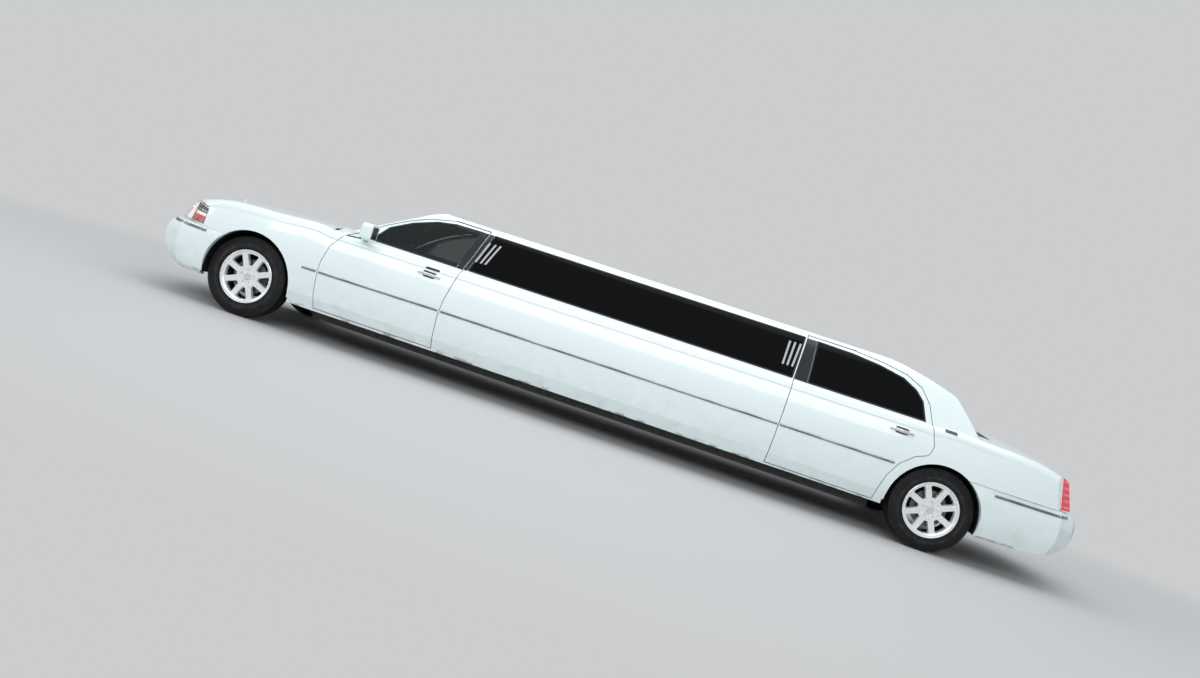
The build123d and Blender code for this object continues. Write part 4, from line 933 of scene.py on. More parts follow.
class BuildTyres(bpy.types.Operator):
    """Turns the four tyres with moulded sidewalls and repeats their tread blocks"""

    bl_idname = "limousine.build_tyres"
    bl_label = "Build the tyres"

    # Tread rows: where each begins and ends across the tyre, how far it is slanted, its share of the pitch
    tread_rows = [(-0.0955, -0.064, 0.20, 0.86), (-0.057, -0.024, -0.30, 0.90), (-0.017, 0.017, 0.25, 0.97),
                  (0.024, 0.057, 0.30, 0.90), (0.064, 0.0955, -0.20, 0.86)]
    # How deep the blocks' feet lie in the carcass, and how their tops fall off over and inside the shoulders
    sunk, shoulder, shoulder_drop, crown, crown_reach, edge_drop = 0.004, 0.09, 0.004, 0.0005, 0.06, 0.0002

    def execute(self, context):
        sizes = context.scene.limousine_wheels
        outer = axle_height
        carcass = outer - sizes.groove_depth
        # Half a section from the bead to the tread, as (reach out from the tyre's middle, radius)
        half = [(0.098, 0.2165), (0.1035, 0.222), (0.1045, 0.229), (0.1035, 0.233), (0.1085, 0.2365),
                (0.1105, 0.2375), (0.1112, 0.241), (0.1125, 0.262), (0.1125, 0.276), (0.1108, 0.296),
                (0.1095, 0.2975), (0.1085, 0.3005), (0.1035, 0.3195), (0.0985, 0.3285),
                (0.0935, carcass - 0.0005), (0.086, carcass)]
        profile = half + [(-reach, radius) for reach, radius in reversed(half)]
        pitch = 2 * math.pi / sizes.tread_pitches
        for name in WHEELS:
            centre, side = wheel_place(name)
            tyre = piece("tyre_look_" + name, lathe(profile, centre, sizes.tyre_steps, side), "tyre_rubber",
                         wheel_body(name), 28)
            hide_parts("tyre_" + name)
            blocks = joined(*(self.block(side, row, carcass, outer, pitch) for row in self.tread_rows))
            repeated("tread_" + name, blocks, sizes.tread_pitches, centre, (0.0, pitch, 0.0), "tyre_rubber",
                     wheel_body(name))
        return {"FINISHED"}

    def block(self, side, row, carcass, outer, pitch):
        """One tread block round the tyre's own centre."""
        low, high, slant, share = row
        edge = max(abs(low), abs(high))
        points = []
        for reach, lean in ((low, -slant), (high, slant)):
            drop = self.crown * (reach / self.crown_reach) ** 2
            if abs(reach) > self.shoulder:
                drop = self.shoulder_drop
            top = outer - drop - self.edge_drop * edge
            for hand in (-1, 1):
                turn = (hand * share / 2 + lean * 0.5) * pitch
                for radius in (carcass - self.sunk, top):
                    points.append(Vector((radius * math.sin(turn), side * reach, radius * math.cos(turn))))
        return points, [(1, 3, 7, 5), (0, 1, 5, 4), (2, 6, 7, 3), (0, 2, 3, 1), (4, 5, 7, 6)]


class BuildWheels(bpy.types.Operator):
    """Casts the bright wheels with their windows, lug nuts, caps, dark barrels, brake discs and valves"""

    bl_idname = "limousine.build_wheels"
    bl_label = "Build the wheels"

    # Each section is of (reach out from the wheel's middle, radius): the cast face and flange before its
    # windows are cut, the dark barrel, the brake disc with its raised hub, and the domed centre cap
    face_section = [(0.103, 0.2275), (0.1065, 0.2285), (0.1078, 0.2260), (0.1070, 0.2225), (0.1010, 0.2185),
                    (0.0960, 0.2150), (0.0900, 0.2120), (0.0865, 0.2060), (0.0850, 0.2000), (0.0810, 0.1600),
                    (0.0780, 0.1200), (0.0765, 0.0930), (0.0700, 0.0890), (0.0695, 0.0850), (0.0745, 0.0820),
                    (0.0750, 0.0700), (0.0700, 0.0660), (0.0690, 0.0440), (0.0720, 0.0420), (0.0720, 0.0330),
                    (0.0500, 0.0330), (0.0420, 0.0600), (0.0420, 0.1850), (0.0460, 0.2010), (0.0550, 0.2050),
                    (0.0550, 0.2157), (0.1030, 0.2157)]
    barrel_section = [(-0.108, 0.2275), (-0.108, 0.205), (-0.085, 0.196), (0.038, 0.196), (0.044, 0.2015),
                      (0.055, 0.2055), (0.055, 0.2155), (-0.103, 0.2155), (-0.104, 0.2275)]
    disc_section = [(0.014, 0.150), (0.014, 0.086), (0.036, 0.080), (0.036, 0.040), (0.026, 0.040),
                    (0.026, 0.074), (-0.010, 0.080), (-0.010, 0.150)]
    cap_section = [(0.060, 0.0), (0.060, 0.0325), (0.0735, 0.0325), (0.0755, 0.0305), (0.0752, 0.0250),
                   (0.0775, 0.0235), (0.0792, 0.0120), (0.0796, 0.0)]

    def execute(self, context):
        sizes = context.scene.limousine_wheels
        steps = sizes.wheel_steps
        nut_turn = 2 * math.pi / sizes.lug_count
        for name in WHEELS:
            centre, side = wheel_place(name)
            body = wheel_body(name)
            whole = lathe(self.face_section, centre, steps, side)
            face = cut_through(whole, self.windows(sizes, centre, side))
            made = piece("wheel_face_" + name, face, "wheel_metal", body, 30)
            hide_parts("rim_" + name)
            # The barrel's near-black finish is painted shade seen through the windows.
            rows = [("wheel_barrel_", lathe(self.barrel_section, centre, steps, side), "dark_cast"),
                    ("brake_disc_", lathe(self.disc_section, centre, steps, side), "brake_steel"),
                    ("wheel_cap_", disc(self.cap_section, centre, 48, side), "chrome"),
                    ("valve_", self.valve(centre, side), "black_rubber")]
            for label, form, finish in rows:
                piece(label + name, form, finish, body, 45)
            nut = disc([(0.058, 0.0), (0.058, 0.0105), (0.0735, 0.0105), (0.0765, 0.0085), (0.0775, 0.0)],
                       (0.0, 0.0, 0.057), 6, side)
            repeated("lug_nuts_" + name, nut, sizes.lug_count, centre, (0.0, nut_turn, 0.0), "chrome",
                     body)
        return {"FINISHED"}

    def valve(self, centre, side):
        """A short tyre valve in the edge of one window."""
        profile = [(0.050, 0.0), (0.050, 0.0045), (0.088, 0.0040), (0.0905, 0.0030), (0.0905, 0.0)]
        points, faces = disc(profile, (0.0, 0.0, -0.1965), 10, side)
        return [Vector(centre) + point for point in points], faces

    def windows(self, sizes, centre, side):
        """The windows between the spokes, flared at their front edge."""
        pitch = 2 * math.pi / sizes.spoke_count
        inner, outer = 0.100, sizes.window_radius
        forms = []
        for i in range(sizes.spoke_count):
            rows = []
            for reach, grown in ((0.025, 0.0), (0.070, 0.0), (0.074, 0.0012), (0.094, 0.0080)):
                edge = sizes.spoke_width / 2 - grown
                near, far = inner - grown, outer + grown
                ends = [(near, -1), (near, 1), (far, 1), (far, 0.5), (far, 0), (far, -0.5), (far, -1)]
                corners = []
                for radius, hand in ends:
                    reach_along = math.sqrt(radius * radius - edge * edge)
                    half = reach_along * math.sin(pitch / 2) - edge * math.cos(pitch / 2)
                    turn = hand * math.asin(half / radius)
                    corners.append((radius * math.sin(turn), radius * math.cos(turn)))
                outline = rounded_outline(corners, (0.004, 0.004, 0.010, 0, 0, 0, 0.010))
                sine, cosine = math.sin(pitch * i), math.cos(pitch * i)
                rows.append([Vector((centre[0] + u * cosine + v * sine, centre[1] + side * reach,
                                     centre[2] - u * sine + v * cosine)) for u, v in outline])
            forms.append(sweep(rows))
        return joined(*forms)


class BuildMouldings(bpy.types.Operator):
    """Lays the bright strips along the sides and the bumpers"""

    bl_idname = "limousine.build_mouldings"
    bl_label = "Build the mouldings"

    def execute(self, context):
        half = context.scene.limousine_trim.strip_height / 2
        lift = context.scene.limousine_trim.strip_lift
        section = [(-1.0, -0.001), (-0.9, lift * 0.7), (-0.4, lift), (0.4, lift), (0.9, lift * 0.7),
                   (1.0, -0.001)]
        # Each strip's name, the node it lies on, the body it rides on, and its line
        rows = [
            ("wing", "front_wing_left", "chassis", front_places((-0.470, 0.5835), (-0.596, 0.5846))),
            ("door_front", "door_front_left", "door_front_left",
             front_places((-0.622, 0.5850), (-1.685, 0.6010))),
            ("panel", "body_side_left", "chassis", [(ahead(-1.712), 0.6012), (behind(1.398), 0.6170)]),
            ("door_rear", "door_rear_left", "door_rear_left", rear_places((1.376, 0.6172), (0.414, 0.6215))),
            ("bumper_rear", "rear_bumper", "chassis",
             rear_places((-0.425, 0.6245), (-0.960, 0.6290), (-1.085, 0.6300))),
            ("bumper_front", "front_bumper", "chassis",
             front_places((0.790, 0.6195), (0.700, 0.6165), (0.430, 0.6100))),
        ]
        for name, node, body, places in rows:
            form = strip(Skin(node), [(x, z, half) for x, z in places], section)
            on_both_sides("strip_" + name, form, "strip_metal", body)
        return {"FINISHED"}


class BuildWindows(bpy.types.Operator):
    """Lays seals, black pillar film and the bright bars round and over the side windows"""

    bl_idname = "limousine.build_windows"
    bl_label = "Build the window trim"

    def execute(self, context):
        self.make_seals()
        self.make_film()
        self.make_bars()
        self.make_pillar_bars()
        return {"FINISHED"}

    def make_seals(self):
        """Black seals just inside the edge of every side pane."""
        front = front_places((-0.930, 0.980), (-1.040, 1.133), (-1.208, 1.232), (-1.401, 1.308),
                             (-1.560, 1.338), (-1.800, 1.345), (-1.704, 0.985))
        rear = rear_places((1.266, 1.003), (1.270, 1.362), (0.966, 1.358), (0.725, 1.338), (0.508, 1.298),
                           (0.387, 1.236), (0.314, 1.162), (0.258, 1.008))
        long_pane = front_places((-1.800, 0.990), (-1.902, 1.348))
        long_pane += rear_places((1.368, 1.364), (1.390, 1.003))
        rows = [("seal_front", "glass_front_left", front, "door_front_left", 0.013),
                ("seal_rear", "glass_rear_left", rear, "door_rear_left", 0.013),
                ("seal_middle", "stretch_windows", long_pane, "chassis", 0.012)]
        for name, node, outline, body, width in rows:
            form = ring_on(Skin(node), outline, width, 0.0025)
            on_both_sides(name, form, "black_rubber", body)

    def make_film(self):
        """Gloss black film on the pillars between the panes."""
        rows = [
            ("film_door", "door_front_left", "door_front_left",
             front_places((-1.706, 0.985), (-1.750, 1.165), (-1.7985, 1.343)),
             front_places((-1.760, 0.985), (-1.808, 1.165), (-1.852, 1.343))),
            ("film_pillar", "body_side_left", "chassis",
             front_places((-1.7695, 0.988), (-1.817, 1.168), (-1.8615, 1.345)),
             front_places((-1.7985, 0.988), (-1.8500, 1.168), (-1.9000, 1.345))),
            ("film_rear", "door_rear_left", "door_rear_left",
             rear_places((1.376, 1.003), (1.3650, 1.180), (1.3530, 1.358)),
             rear_places((1.2675, 1.003), (1.2695, 1.180), (1.2710, 1.358))),
        ]
        for name, node, body, first, second in rows:
            film = patch(Skin(node), first, second, 0.0008)
            on_both_sides(name, film, "black_gloss", body)

    def make_bars(self):
        """Two groups of three slanted bright bars over the long pane, each from its top to its foot."""
        skin = Skin("stretch_windows")
        rows = [(-1.891, 1.271, -1.839, 1.082), (-1.942, 1.273, -1.883, 1.084),
                (-1.986, 1.275, -1.922, 1.086), (-4.548, 1.291, -4.538, 1.090),
                (-4.593, 1.292, -4.577, 1.091), (-4.639, 1.293, -4.618, 1.092)]
        section = ((-0.010, -0.001), (-0.0085, 0.0028), (0.0085, 0.0028), (0.010, -0.001))
        forms = []
        for x_top, z_top, x_low, z_low in rows:
            rings = []
            for i in range(7):
                x, z = between((ahead(x_top), z_top), (ahead(x_low), z_low), i / 6)
                ring = []
                for offset, lift in section:
                    place, normal = skin.side(x + offset, z)
                    ring.append(place + normal * lift)
                rings.append(ring)
            forms.append(sweep(rings))
        on_both_sides("window_bars", joined(*forms), "chrome")

    def make_pillar_bars(self):
        """A small plain dark bar on each rear pillar."""
        form = patch(Skin("body_side_left"), front_places((-5.938, 1.006), (-6.036, 1.006)),
                     front_places((-5.938, 0.984), (-6.036, 0.984)), 0.003, 0.002, 12, 2)
        on_both_sides("pillar_bar", form, "black_gloss")


class BuildHandles(bpy.types.Operator):
    """Adds the door handles, the keypad, the sail seals and the mirrors' glass"""

    bl_idname = "limousine.build_handles"
    bl_label = "Build the handles and mirrors"

    def execute(self, context):
        self.make_handle("handle_front", "door_front_left", ahead(-1.522), 0.960, 0.860)
        self.make_handle("handle_rear", "door_rear_left", behind(0.432), 0.962, 0.883)
        skin = Skin("door_front_left")
        keypad = patch(skin, front_places((-1.476, 0.920), (-1.596, 0.922)),
                       front_places((-1.476, 0.902), (-1.596, 0.904)), 0.0022)
        piece("keypad", keypad, "black_rubber", "door_front_left")
        sail = patch(skin, front_places((-0.742, 0.9560), (-0.925, 0.9765)),
                     front_places((-0.742, 0.9475), (-0.925, 0.9665)), 0.0022)
        on_both_sides("sail_seal", sail, "black_rubber", "door_front_left")
        x = ahead(-1.0005)
        glass = rounded_block((x - 0.0012, 0.972, 0.984), (x + 0.004, 1.108, 1.092), 0.0010, 1)
        on_both_sides("mirror_glass", glass, "mirror_glass", "door_front_left")
        return {"FINISHED"}

    def make_handle(self, name, door, x, skin_y, z):
        """Bright sleeves over a door's pull and its two feet."""
        forms = [rounded_block((x - 0.0995, skin_y + 0.0045, z - 0.0112),
                               (x + 0.0995, skin_y + 0.0195, z + 0.0112), 0.0045)]
        for end in (-1, 1):
            foot = x + end * 0.085
            forms.append(rounded_block((foot - 0.0125, skin_y - 0.004, z - 0.0085),
                                       (foot + 0.0125, skin_y + 0.012, z + 0.0085), 0.003, 2))
        on_both_sides(name, joined(*forms), "chrome", door, 60)


class BuildLamps(bpy.types.Operator):
    """Fits the reflectors, bars and coloured blocks behind the headlamps' lenses, and the tail bezels, which
    glow as a painted highlight
    """

    bl_idname = "limousine.build_lamps"
    bl_label = "Build the lamps"

    def execute(self, context):
        self.make_side_blocks()
        self.make_bowls()
        self.make_bezel_highlights()
        return {"FINISHED"}

    def make_side_blocks(self):
        """Bands seen through a headlamp's side, from its rear edge to the cream part in front."""
        skin = Skin("headlamps")

        def height(x, share):
            """The height at a share of the way down from the lamp's rising top edge to its level foot."""
            top, low = 0.803 + (x - 0.464) * 0.157, 0.664
            return top + (low - top) * share

        # Each band's name and finish, its back and front ahead of the axle, and its top and foot as shares
        bands = [("rim", "chrome", 0.492, 0.618, 0.02, 0.08),
                 ("top", "black_gloss", 0.492, 0.618, 0.08, 0.25),
                 ("grey", "strip_metal", 0.492, 0.618, 0.25, 0.36),
                 ("shade", "black_gloss", 0.492, 0.618, 0.36, 0.43),
                 ("bar", "lamp_bowl", 0.492, 0.618, 0.43, 0.60),
                 ("marker", "amber_lens", 0.492, 0.618, 0.60, 0.97),
                 ("divider", "black_gloss", 0.619, 0.634, 0.02, 0.97),
                 ("front", "lamp_bowl", 0.635, 0.715, 0.02, 0.97)]
        for label, finish, x_back, x_front, top, low in bands:
            places = [between(x_back, x_front, i / 4) for i in range(5)]
            edges = [[(ahead(x), height(x, share)) for x in places] for share in (top, low)]
            band = patch(skin, *edges, -0.010, 0.014, 12, 6)
            on_both_sides("lamp_" + label, band, finish)

    def make_bowls(self):
        """A pale back panel and two round bowls with bulbs, seen through a headlamp's front."""
        edges = [[(y, z) for y in (0.450, 0.555, 0.660, 0.765)] for z in (0.826, 0.676)]
        panel = patch(Skin("headlamps"), *edges, -0.058, 0.061, 16, 8, "front")
        on_both_sides("lamp_panel", panel, "lamp_bowl")
        for label, y, front, radius in (("inner", 0.535, 0.742, 0.062), ("outer", 0.682, 0.706, 0.058)):
            bowl = [(-0.060, 0.0), (-0.056, 0.020), (-0.040, 0.040), (-0.018, radius - 0.008),
                    (0.0, radius - 0.002), (0.001, radius), (-0.004, radius + 0.002),
                    (-0.030, radius - 0.008), (-0.062, 0.030), (-0.066, 0.0)]
            bulb = [(-0.064, 0.0), (-0.064, 0.011), (-0.036, 0.011), (-0.028, 0.008), (-0.025, 0.0)]
            centre = (ahead(front), y, 0.750)
            for part, rows, finish, steps in (("bowl", bowl, "chrome", 48), ("bulb", bulb, "lamp_bowl", 24)):
                form = round_lengthwise(rows, centre, steps)
                on_both_sides(f"lamp_{part}_{label}", form, finish)

    def make_bezel_highlights(self):
        """Pale bezel along the front edge of each tail lamp, in the reflectors' glowing finish as a painted
        highlight on that edge.
        """
        form = patch(Skin("tail_lamps"), rear_places((-0.9375, 0.930), (-0.9735, 0.690)),
                     rear_places((-0.9455, 0.930), (-0.9815, 0.690)), 0.0012, 0.002, 16, 2)
        # Painted highlight: the bezel takes the headlamps' glowing reflector finish, so it shines like light
        # caught on the edge.
        on_both_sides("tail_bezel", form, "lamp_bowl")


class BuildFrontAndRear(bpy.types.Operator):
    """Adds the grille's backing, intake slats, ornament, wipers, splash guards, rear plate and exhaust tip"""

    bl_idname = "limousine.build_front_and_rear"
    bl_label = "Build the front and rear trim"

    def execute(self, context):
        self.make_grille_backing()
        self.make_ornament()
        self.make_wipers()
        self.make_splash_guards()
        self.make_rear()
        return {"FINISHED"}

    def make_grille_backing(self):
        """Dark plates behind the grille and the intake, with slats across the intake."""
        back = rounded_block((ahead(0.704), -0.390, 0.672), (ahead(0.712), 0.390, 0.826), 0.002, 1)
        piece("grille_back", back, "black_rubber")
        back = rounded_block((ahead(0.8005), -0.338, 0.314), (ahead(0.806), 0.338, 0.390), 0.002, 1)
        piece("intake_back", back, "black_rubber")
        slat = rounded_block((-0.014, -0.334, -0.003), (0.014, 0.334, 0.003), 0.0015, 1)
        repeated("intake_slats", slat, 3, (ahead(0.905), 0.0, 0.332), (0.0, 0.0, 0.020), "black_rubber",
                 round_axle=False)

    def make_ornament(self):
        """A plain upright bright bar on a foot on the hood."""
        place = Skin("hood").above(ahead(0.640), 0.0)[0]
        foot = rounded_block((place.x - 0.022, -0.009, place.z - 0.004),
                             (place.x + 0.018, 0.009, place.z + 0.004), 0.003, 2)
        rake, spread = 0.10, 30
        points, faces = rounded_block((-0.0105, -0.0035, 0.0), (0.0105, 0.0035, 0.048), 0.0030, 2)
        raked = [Vector((place.x + p.x - p.z * rake, p.y * (1 + p.z * spread), place.z + p.z))
                 for p in points]
        piece("hood_ornament", joined(foot, (raked, faces)), "chrome", "hood")

    def make_wipers(self):
        """Two parked wiper arms with blades at the foot of the windscreen."""
        skin = Skin("windscreen")
        steps = 14
        # The glass's foot at the middle, its bow back towards the sides, and the blade's slant up the glass
        foot, bow, slant = ahead(-0.668), 4.36, 0.030
        for label, y_pivot, y_end in (("left", 0.620, -0.010), ("right", 0.020, -0.610)):
            arms, blades = [], []
            for i in range(steps + 1):
                share = i / steps
                y = between(y_pivot, y_end, share)
                place, normal = skin.above(foot - y * y / bow - slant * share, y)
                lift = 0.010 + 0.010 * math.sin(math.pi * share)
                half = between(0.010, 0.005, share)
                across = normal.cross(Vector((0, 1, 0))).normalized()
                arms.append([place + normal * (lift + h) + across * w for w, h in
                             ((-half, 0.0), (half, 0.0), (half, 0.006), (-half, 0.006))])
                if share > 0.2:
                    blades.append([place + normal * h + across * w for w, h in
                                   ((-0.004, 0.001), (0.004, 0.001), (0.005, 0.009), (-0.005, 0.009))])
            piece("wiper_" + label, joined(sweep(arms), sweep(blades)), "black_rubber")

    def make_splash_guards(self):
        """Dark guards that carry each wheel housing down towards the bumper, with a wall behind the wheel."""
        # Each guard's name, housing centre and radius, way from the axle, and inner and outer edge
        rows = [("front", ahead(-0.006), axle_height, 0.4005, 1, 0.500, 0.922),
                ("rear", behind(0.004), axle_height - 0.005, 0.3945, -1, 0.662, 0.926)]
        top, low, thick, wall = 0.432, 0.262, 0.004, 0.16
        for label, x, z, radius, way, y_in, y_out in rows:
            rings = []
            for i in range(13):
                h = between(top, low, i / 12)
                near, far = [x + way * math.sqrt(reach * reach - (h - z) ** 2)
                             for reach in (radius, radius + thick)]
                outline = [(near, y_out), (near, y_in + thick), (x + way * wall, y_in + thick),
                           (x + way * wall, y_in), (far, y_in), (far, y_out)]
                rings.append([Vector((along, y, h)) for along, y in outline])
            on_both_sides("splash_guard_" + label, sweep(rings), "black_rubber")

    def make_rear(self):
        """The blank plate with its screws, and a bright tip on the exhaust."""
        seat, steps = behind(-1.105), 40
        plate = rounded_block((seat - 0.0022, -0.1525, 0.702), (seat - 0.0002, 0.1525, 0.854), 0.0009, 1)
        piece("rear_plate", plate, "blank_plate", "trunk_lid")
        profile = [(0.0, 0.0), (0.0, 0.0065), (-0.002, 0.0060), (-0.0034, 0.0040), (-0.0036, 0.0)]
        screw = round_lengthwise(profile, (0.0, 0.0, 0.0), 16)
        repeated("plate_screws", screw, 2, (seat - 0.002, -0.0889, 0.842), (0.0, 0.1778, 0.0), "chrome",
                 "trunk_lid", round_axle=False)
        tip = rear_places((-1.105, 0.0262), (-1.105, 0.0290), (-1.187, 0.0305), (-1.190, 0.0300),
                          (-1.190, 0.0262))
        rows = []
        for i in range(steps):
            turn = 2 * math.pi * i / steps
            rows.append([Vector((x, 0.300 + radius * math.cos(turn), 0.322 + radius * math.sin(turn)))
                         for x, radius in tip])
        piece("exhaust_tip", sweep(rows, closed=True), "chrome")


class BuildSeats(bpy.types.Operator):
    """Pads the front seats, the rear bench and the side bench in channelled leather, and trims the cabin"""

    bl_idname = "limousine.build_seats"
    bl_label = "Build the seats"

    def execute(self, context):
        self.make_front_seats()
        self.make_lounge()
        self.make_rear_trim()
        self.make_cabin_details()
        return {"FINISHED"}

    def cushion(self, name, node, low, high, *shape):
        """One padded piece that stands for a node's plain one."""
        made = piece(name, pad(low, high, *shape), "seat_leather", crease=80)
        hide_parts(node)

    def plinth(self, name, low, high):
        """A seat's dark base."""
        piece(name, rounded_block(low, high, 0.010, 2), "cabin_trim")

    def make_front_seats(self):
        """Two front seats, each with a cushion, a back and a head restraint."""
        foot = ahead(-1.560)
        channels = (-0.62, -0.3, 0.0, 0.3, 0.62)
        # Part, back and front from the seat's foot, half width, low and high, then the pad's own shape
        rows = [("seat", 0.040, 0.505, 0.255, 0.400, 0.486, (0.030, 0.006, channels, 1)),
                ("back", -0.045, 0.045, 0.250, 0.470, 1.045, (0.035, 0.006, channels, 1, 0, 0.125)),
                ("head", -0.200, -0.125, 0.125, 1.070, 1.212, (0.030, 0.005, (), 1, 0, 0.0))]
        for label, y in (("left", 0.385), ("right", -0.385)):
            for part, back, front, half, low, high, shape in rows:
                self.cushion(f"front_{part}_{label}", "front_seats", (foot + back, y - half, low),
                             (foot + front, y + half, high), *shape)
            self.plinth(f"front_base_{label}", (foot + 0.010, y - 0.230, 0.319),
                        (foot + 0.475, y + 0.230, 0.402))

    def make_lounge(self):
        """Three places on the rear bench and five on the side bench, a hair apart."""
        foot, width, seam = behind(0.480), 0.424, 0.002
        channels = (-0.6, -0.2, 0.2, 0.6)
        for i in range(3):
            low, high = -0.636 + i * width, -0.636 + (i + 1) * width
            self.cushion(f"bench_seat_{i + 1}", "lounge_seats", (foot + 0.050, low, 0.400),
                         (foot + 0.495, high - seam, 0.486), 0.030, 0.006, channels, 1)
            self.cushion(f"bench_back_{i + 1}", "lounge_seats", (foot - 0.040, low, 0.470),
                         (foot + 0.050, high - seam, 0.995), 0.035, 0.006, channels, 1, 0, 0.090)
        self.plinth("bench_base", (foot + 0.010, -0.630, 0.3205), (foot + 0.480, 0.630, 0.402))
        x_low, x_high, count = behind(1.155), ahead(-2.015), 5
        step = (x_high - x_low) / count
        for i in range(count):
            low, high = x_low + i * step, x_low + (i + 1) * step - seam
            self.cushion(f"side_seat_{i + 1}", "lounge_seats", (low, -0.735, 0.385), (high, -0.408, 0.464),
                         0.028, 0.005, channels, 0)
            self.cushion(f"side_back_{i + 1}", "lounge_seats", (low, -0.848, 0.450), (high, -0.742, 0.856),
                         0.030, 0.005, channels, 0, 1)
        self.plinth("side_base", (x_low, -0.845, 0.3195), (x_high, -0.425, 0.388))

    def make_rear_trim(self):
        """A board that carries the parcel shelf on to the bench, and a panel that shuts off the trunk."""
        plan = rear_places((0.352, 0.835), (0.090, 0.835), (-0.260, 0.780))
        plan += [(x, -y) for x, y in reversed(plan)]
        board = sweep([[Vector((x, y, z)) for x, y in plan] for z in (1.0005, 1.0165)])
        piece("rear_board", board, "cabin_trim")
        wall = [(0.845, 1.0), (0.845, 0.600), (0.640, 0.600), (0.640, 0.500)]
        wall += [(-y, z) for y, z in reversed(wall)]
        panel = sweep([[Vector((x, y, z)) for y, z in wall] for x in (behind(0.332), behind(0.344))])
        piece("rear_panel", panel, "cabin_trim")

    def make_cabin_details(self):
        """The partition's dark pane, and vents, cluster and screen on the dashboard."""
        x = ahead(-1.925)
        pane = rounded_block((x - 0.003, -0.388, 0.962), (x + 0.003, 0.388, 1.238), 0.0015, 1)
        piece("partition_pane", pane, "dark_glass")
        face = ahead(-0.957)
        rows = [("cluster", 0.260, 0.510, 0.905, 0.965), ("screen", -0.110, 0.110, 0.865, 0.955),
                ("vent_left", 0.600, 0.720, 0.900, 0.950), ("vent_right", -0.720, -0.600, 0.900, 0.950)]
        for label, y_low, y_high, z_low, z_high in rows:
            form = rounded_block((face - 0.006, y_low, z_low), (face + 0.030, y_high, z_high), 0.004, 2)
            piece("dash_" + label, form, "black_gloss")


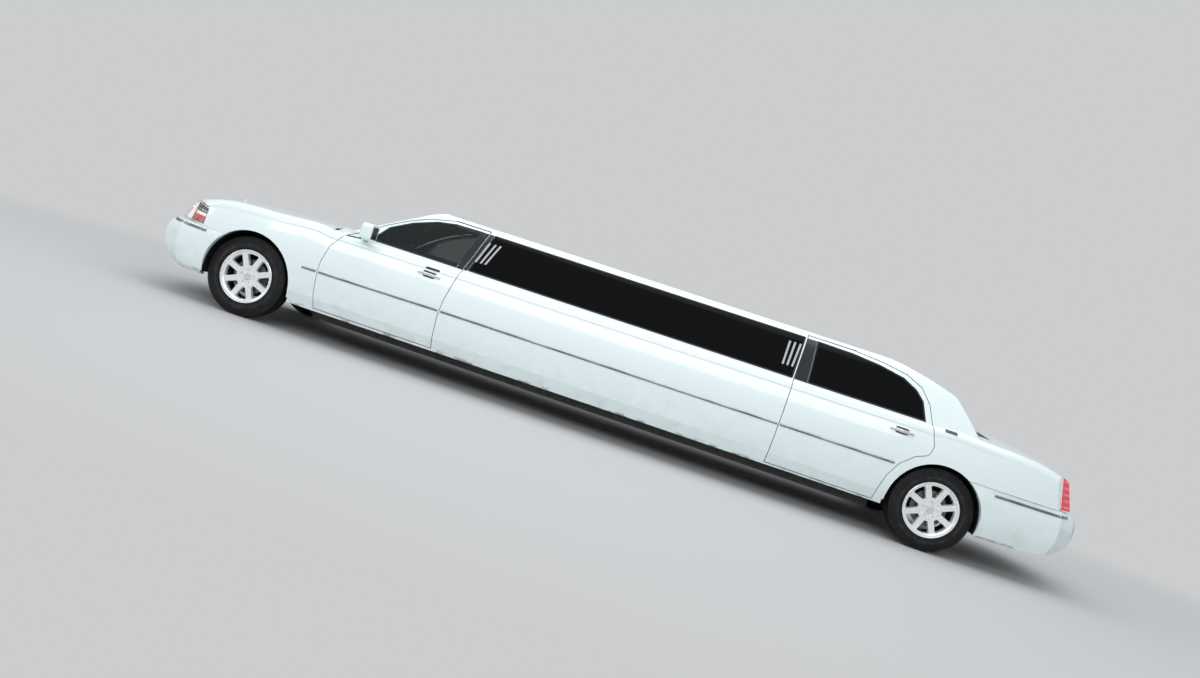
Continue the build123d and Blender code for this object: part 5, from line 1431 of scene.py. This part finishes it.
class BuildStage(bpy.types.Operator):
    """Makes the camera, the lamps, the world and the floor"""

    bl_idname = "limousine.build_stage"
    bl_label = "Build the studio"

    def execute(self, context):
        sizes = context.scene.limousine_stage
        self.make_camera(context, sizes)
        self.make_world(context, sizes)
        self.make_lamps(context)
        reach = 60.0
        corners = [(-reach, -reach, 0), (reach, -reach, 0), (reach, reach, 0), (-reach, reach, 0)]
        floor = mesh_of("floor", (corners, [(0, 1, 2, 3)]))
        floor.materials.append(finish_of("studio_floor"))
        linked("floor", floor)
        context.scene.view_settings.view_transform = "Standard"
        return {"FINISHED"}

    def make_camera(self, context, sizes):
        """The photograph's viewpoint, with its roll."""
        yaw, pitch, roll = sizes.yaw, sizes.pitch, sizes.roll
        forward = Vector((math.sin(yaw) * math.cos(pitch), -math.cos(yaw) * math.cos(pitch), math.sin(pitch)))
        level_right = Vector((-math.cos(yaw), -math.sin(yaw), 0.0))
        level_up = level_right.cross(forward)
        right = math.cos(roll) * level_right + math.sin(roll) * level_up
        up = math.cos(roll) * level_up - math.sin(roll) * level_right
        data = bpy.data.cameras.new("camera")
        data.lens = sizes.lens
        data.sensor_width = 36.0
        data.clip_end = 200.0
        camera = linked("camera", data)
        turn = Matrix((right, up, -forward)).transposed().to_4x4()
        camera.matrix_world = Matrix.Translation((sizes.camera_x, sizes.camera_y, sizes.camera_z)) @ turn
        context.scene.camera = camera

    def make_world(self, context, sizes):
        """Soft even light, and a pale backdrop where the camera or glass looks past the floor."""
        world = bpy.data.worlds.new("studio")
        world.use_nodes = True
        graph = Graph(world.node_tree)
        lit = graph.tree.nodes["Background"]
        graph.feed(lit.inputs["Color"], (0.92, 0.96, 1.0))
        graph.feed(lit.inputs["Strength"], 0.62)
        seen = graph.node("ShaderNodeBackground", {}, Color=tuple(sizes.backdrop), Strength=1.0)
        camera = graph.node("ShaderNodeLightPath", {}, output="Is Camera Ray")
        through = graph.node("ShaderNodeLightPath", {}, output="Is Transmission Ray")
        mixed = graph.node("ShaderNodeMixShader", {}, camera.maths("MAXIMUM", through),
                           Value(graph, lit.outputs[0]), seen)
        graph.tree.links.new(mixed.socket, graph.tree.nodes["World Output"].inputs["Surface"])
        context.scene.world = world

    def make_lamps(self, context):
        """Large soft boxes: above, on the photographed side, for the nose and for the far side."""
        # Each lamp's name, place, target, size and power
        rows = [
            ("lamp_top", (0.0, 1.0, 6.0), (0.0, 0.0, 0.0), (12.0, 5.0), 260.0),
            ("lamp_side", (1.0, 9.0, 4.5), (0.0, 0.0, 0.6), (12.0, 3.0), 340.0),
            ("lamp_nose", (10.5, 3.5, 2.6), (4.0, 0.2, 0.5), (4.0, 3.0), 70.0),
            ("lamp_far", (0.0, -8.0, 4.0), (0.0, 0.0, 0.7), (10.0, 3.0), 120.0),
        ]
        for name, place, target, size, power in rows:
            data = bpy.data.lights.new(name, "AREA")
            data.shape = "RECTANGLE"
            data.size, data.size_y = size
            data.energy = power
            lamp = linked(name, data)
            lamp.location = place
            lamp.rotation_euler = (Vector(place) - Vector(target)).to_track_quat("Z", "Y").to_euler()


PIECE_OPERATORS = [DressNodes, BuildTyres, BuildWheels, BuildMouldings, BuildWindows, BuildHandles,
                   BuildLamps, BuildFrontAndRear, BuildSeats, BuildStage]
SIZE_GROUPS = {"limousine_paint": PaintSizes, "limousine_wheels": WheelSizes, "limousine_trim": TrimSizes,
               "limousine_stage": StageSizes}


class LimousinePanel(bpy.types.Panel):
    """Lists the pieces that can be built"""

    bl_idname = "VIEW3D_PT_limousine"
    bl_label = "Limousine"
    bl_space_type = "VIEW_3D"
    bl_region_type = "UI"
    bl_category = "Limousine"

    def draw(self, context):
        for name, group in SIZE_GROUPS.items():
            for size in group.__annotations__:
                self.layout.prop(getattr(context.scene, name), size)
        for operator in PIECE_OPERATORS:
            self.layout.operator(operator.bl_idname)


CLASSES = [*SIZE_GROUPS.values(), *PIECE_OPERATORS, LimousinePanel]


def register():
    for one in CLASSES:
        bpy.utils.register_class(one)
    for name, group in SIZE_GROUPS.items():
        setattr(bpy.types.Scene, name, PointerProperty(type=group))


def unregister():
    for name in SIZE_GROUPS:
        delattr(bpy.types.Scene, name)
    for one in reversed(CLASSES):
        bpy.utils.unregister_class(one)


def main():
    """Builds every piece in order."""
    register()
    for operator in PIECE_OPERATORS:
        group, name = operator.bl_idname.split(".")
        getattr(getattr(bpy.ops, group), name)()


if __name__ == "__main__":
    main()
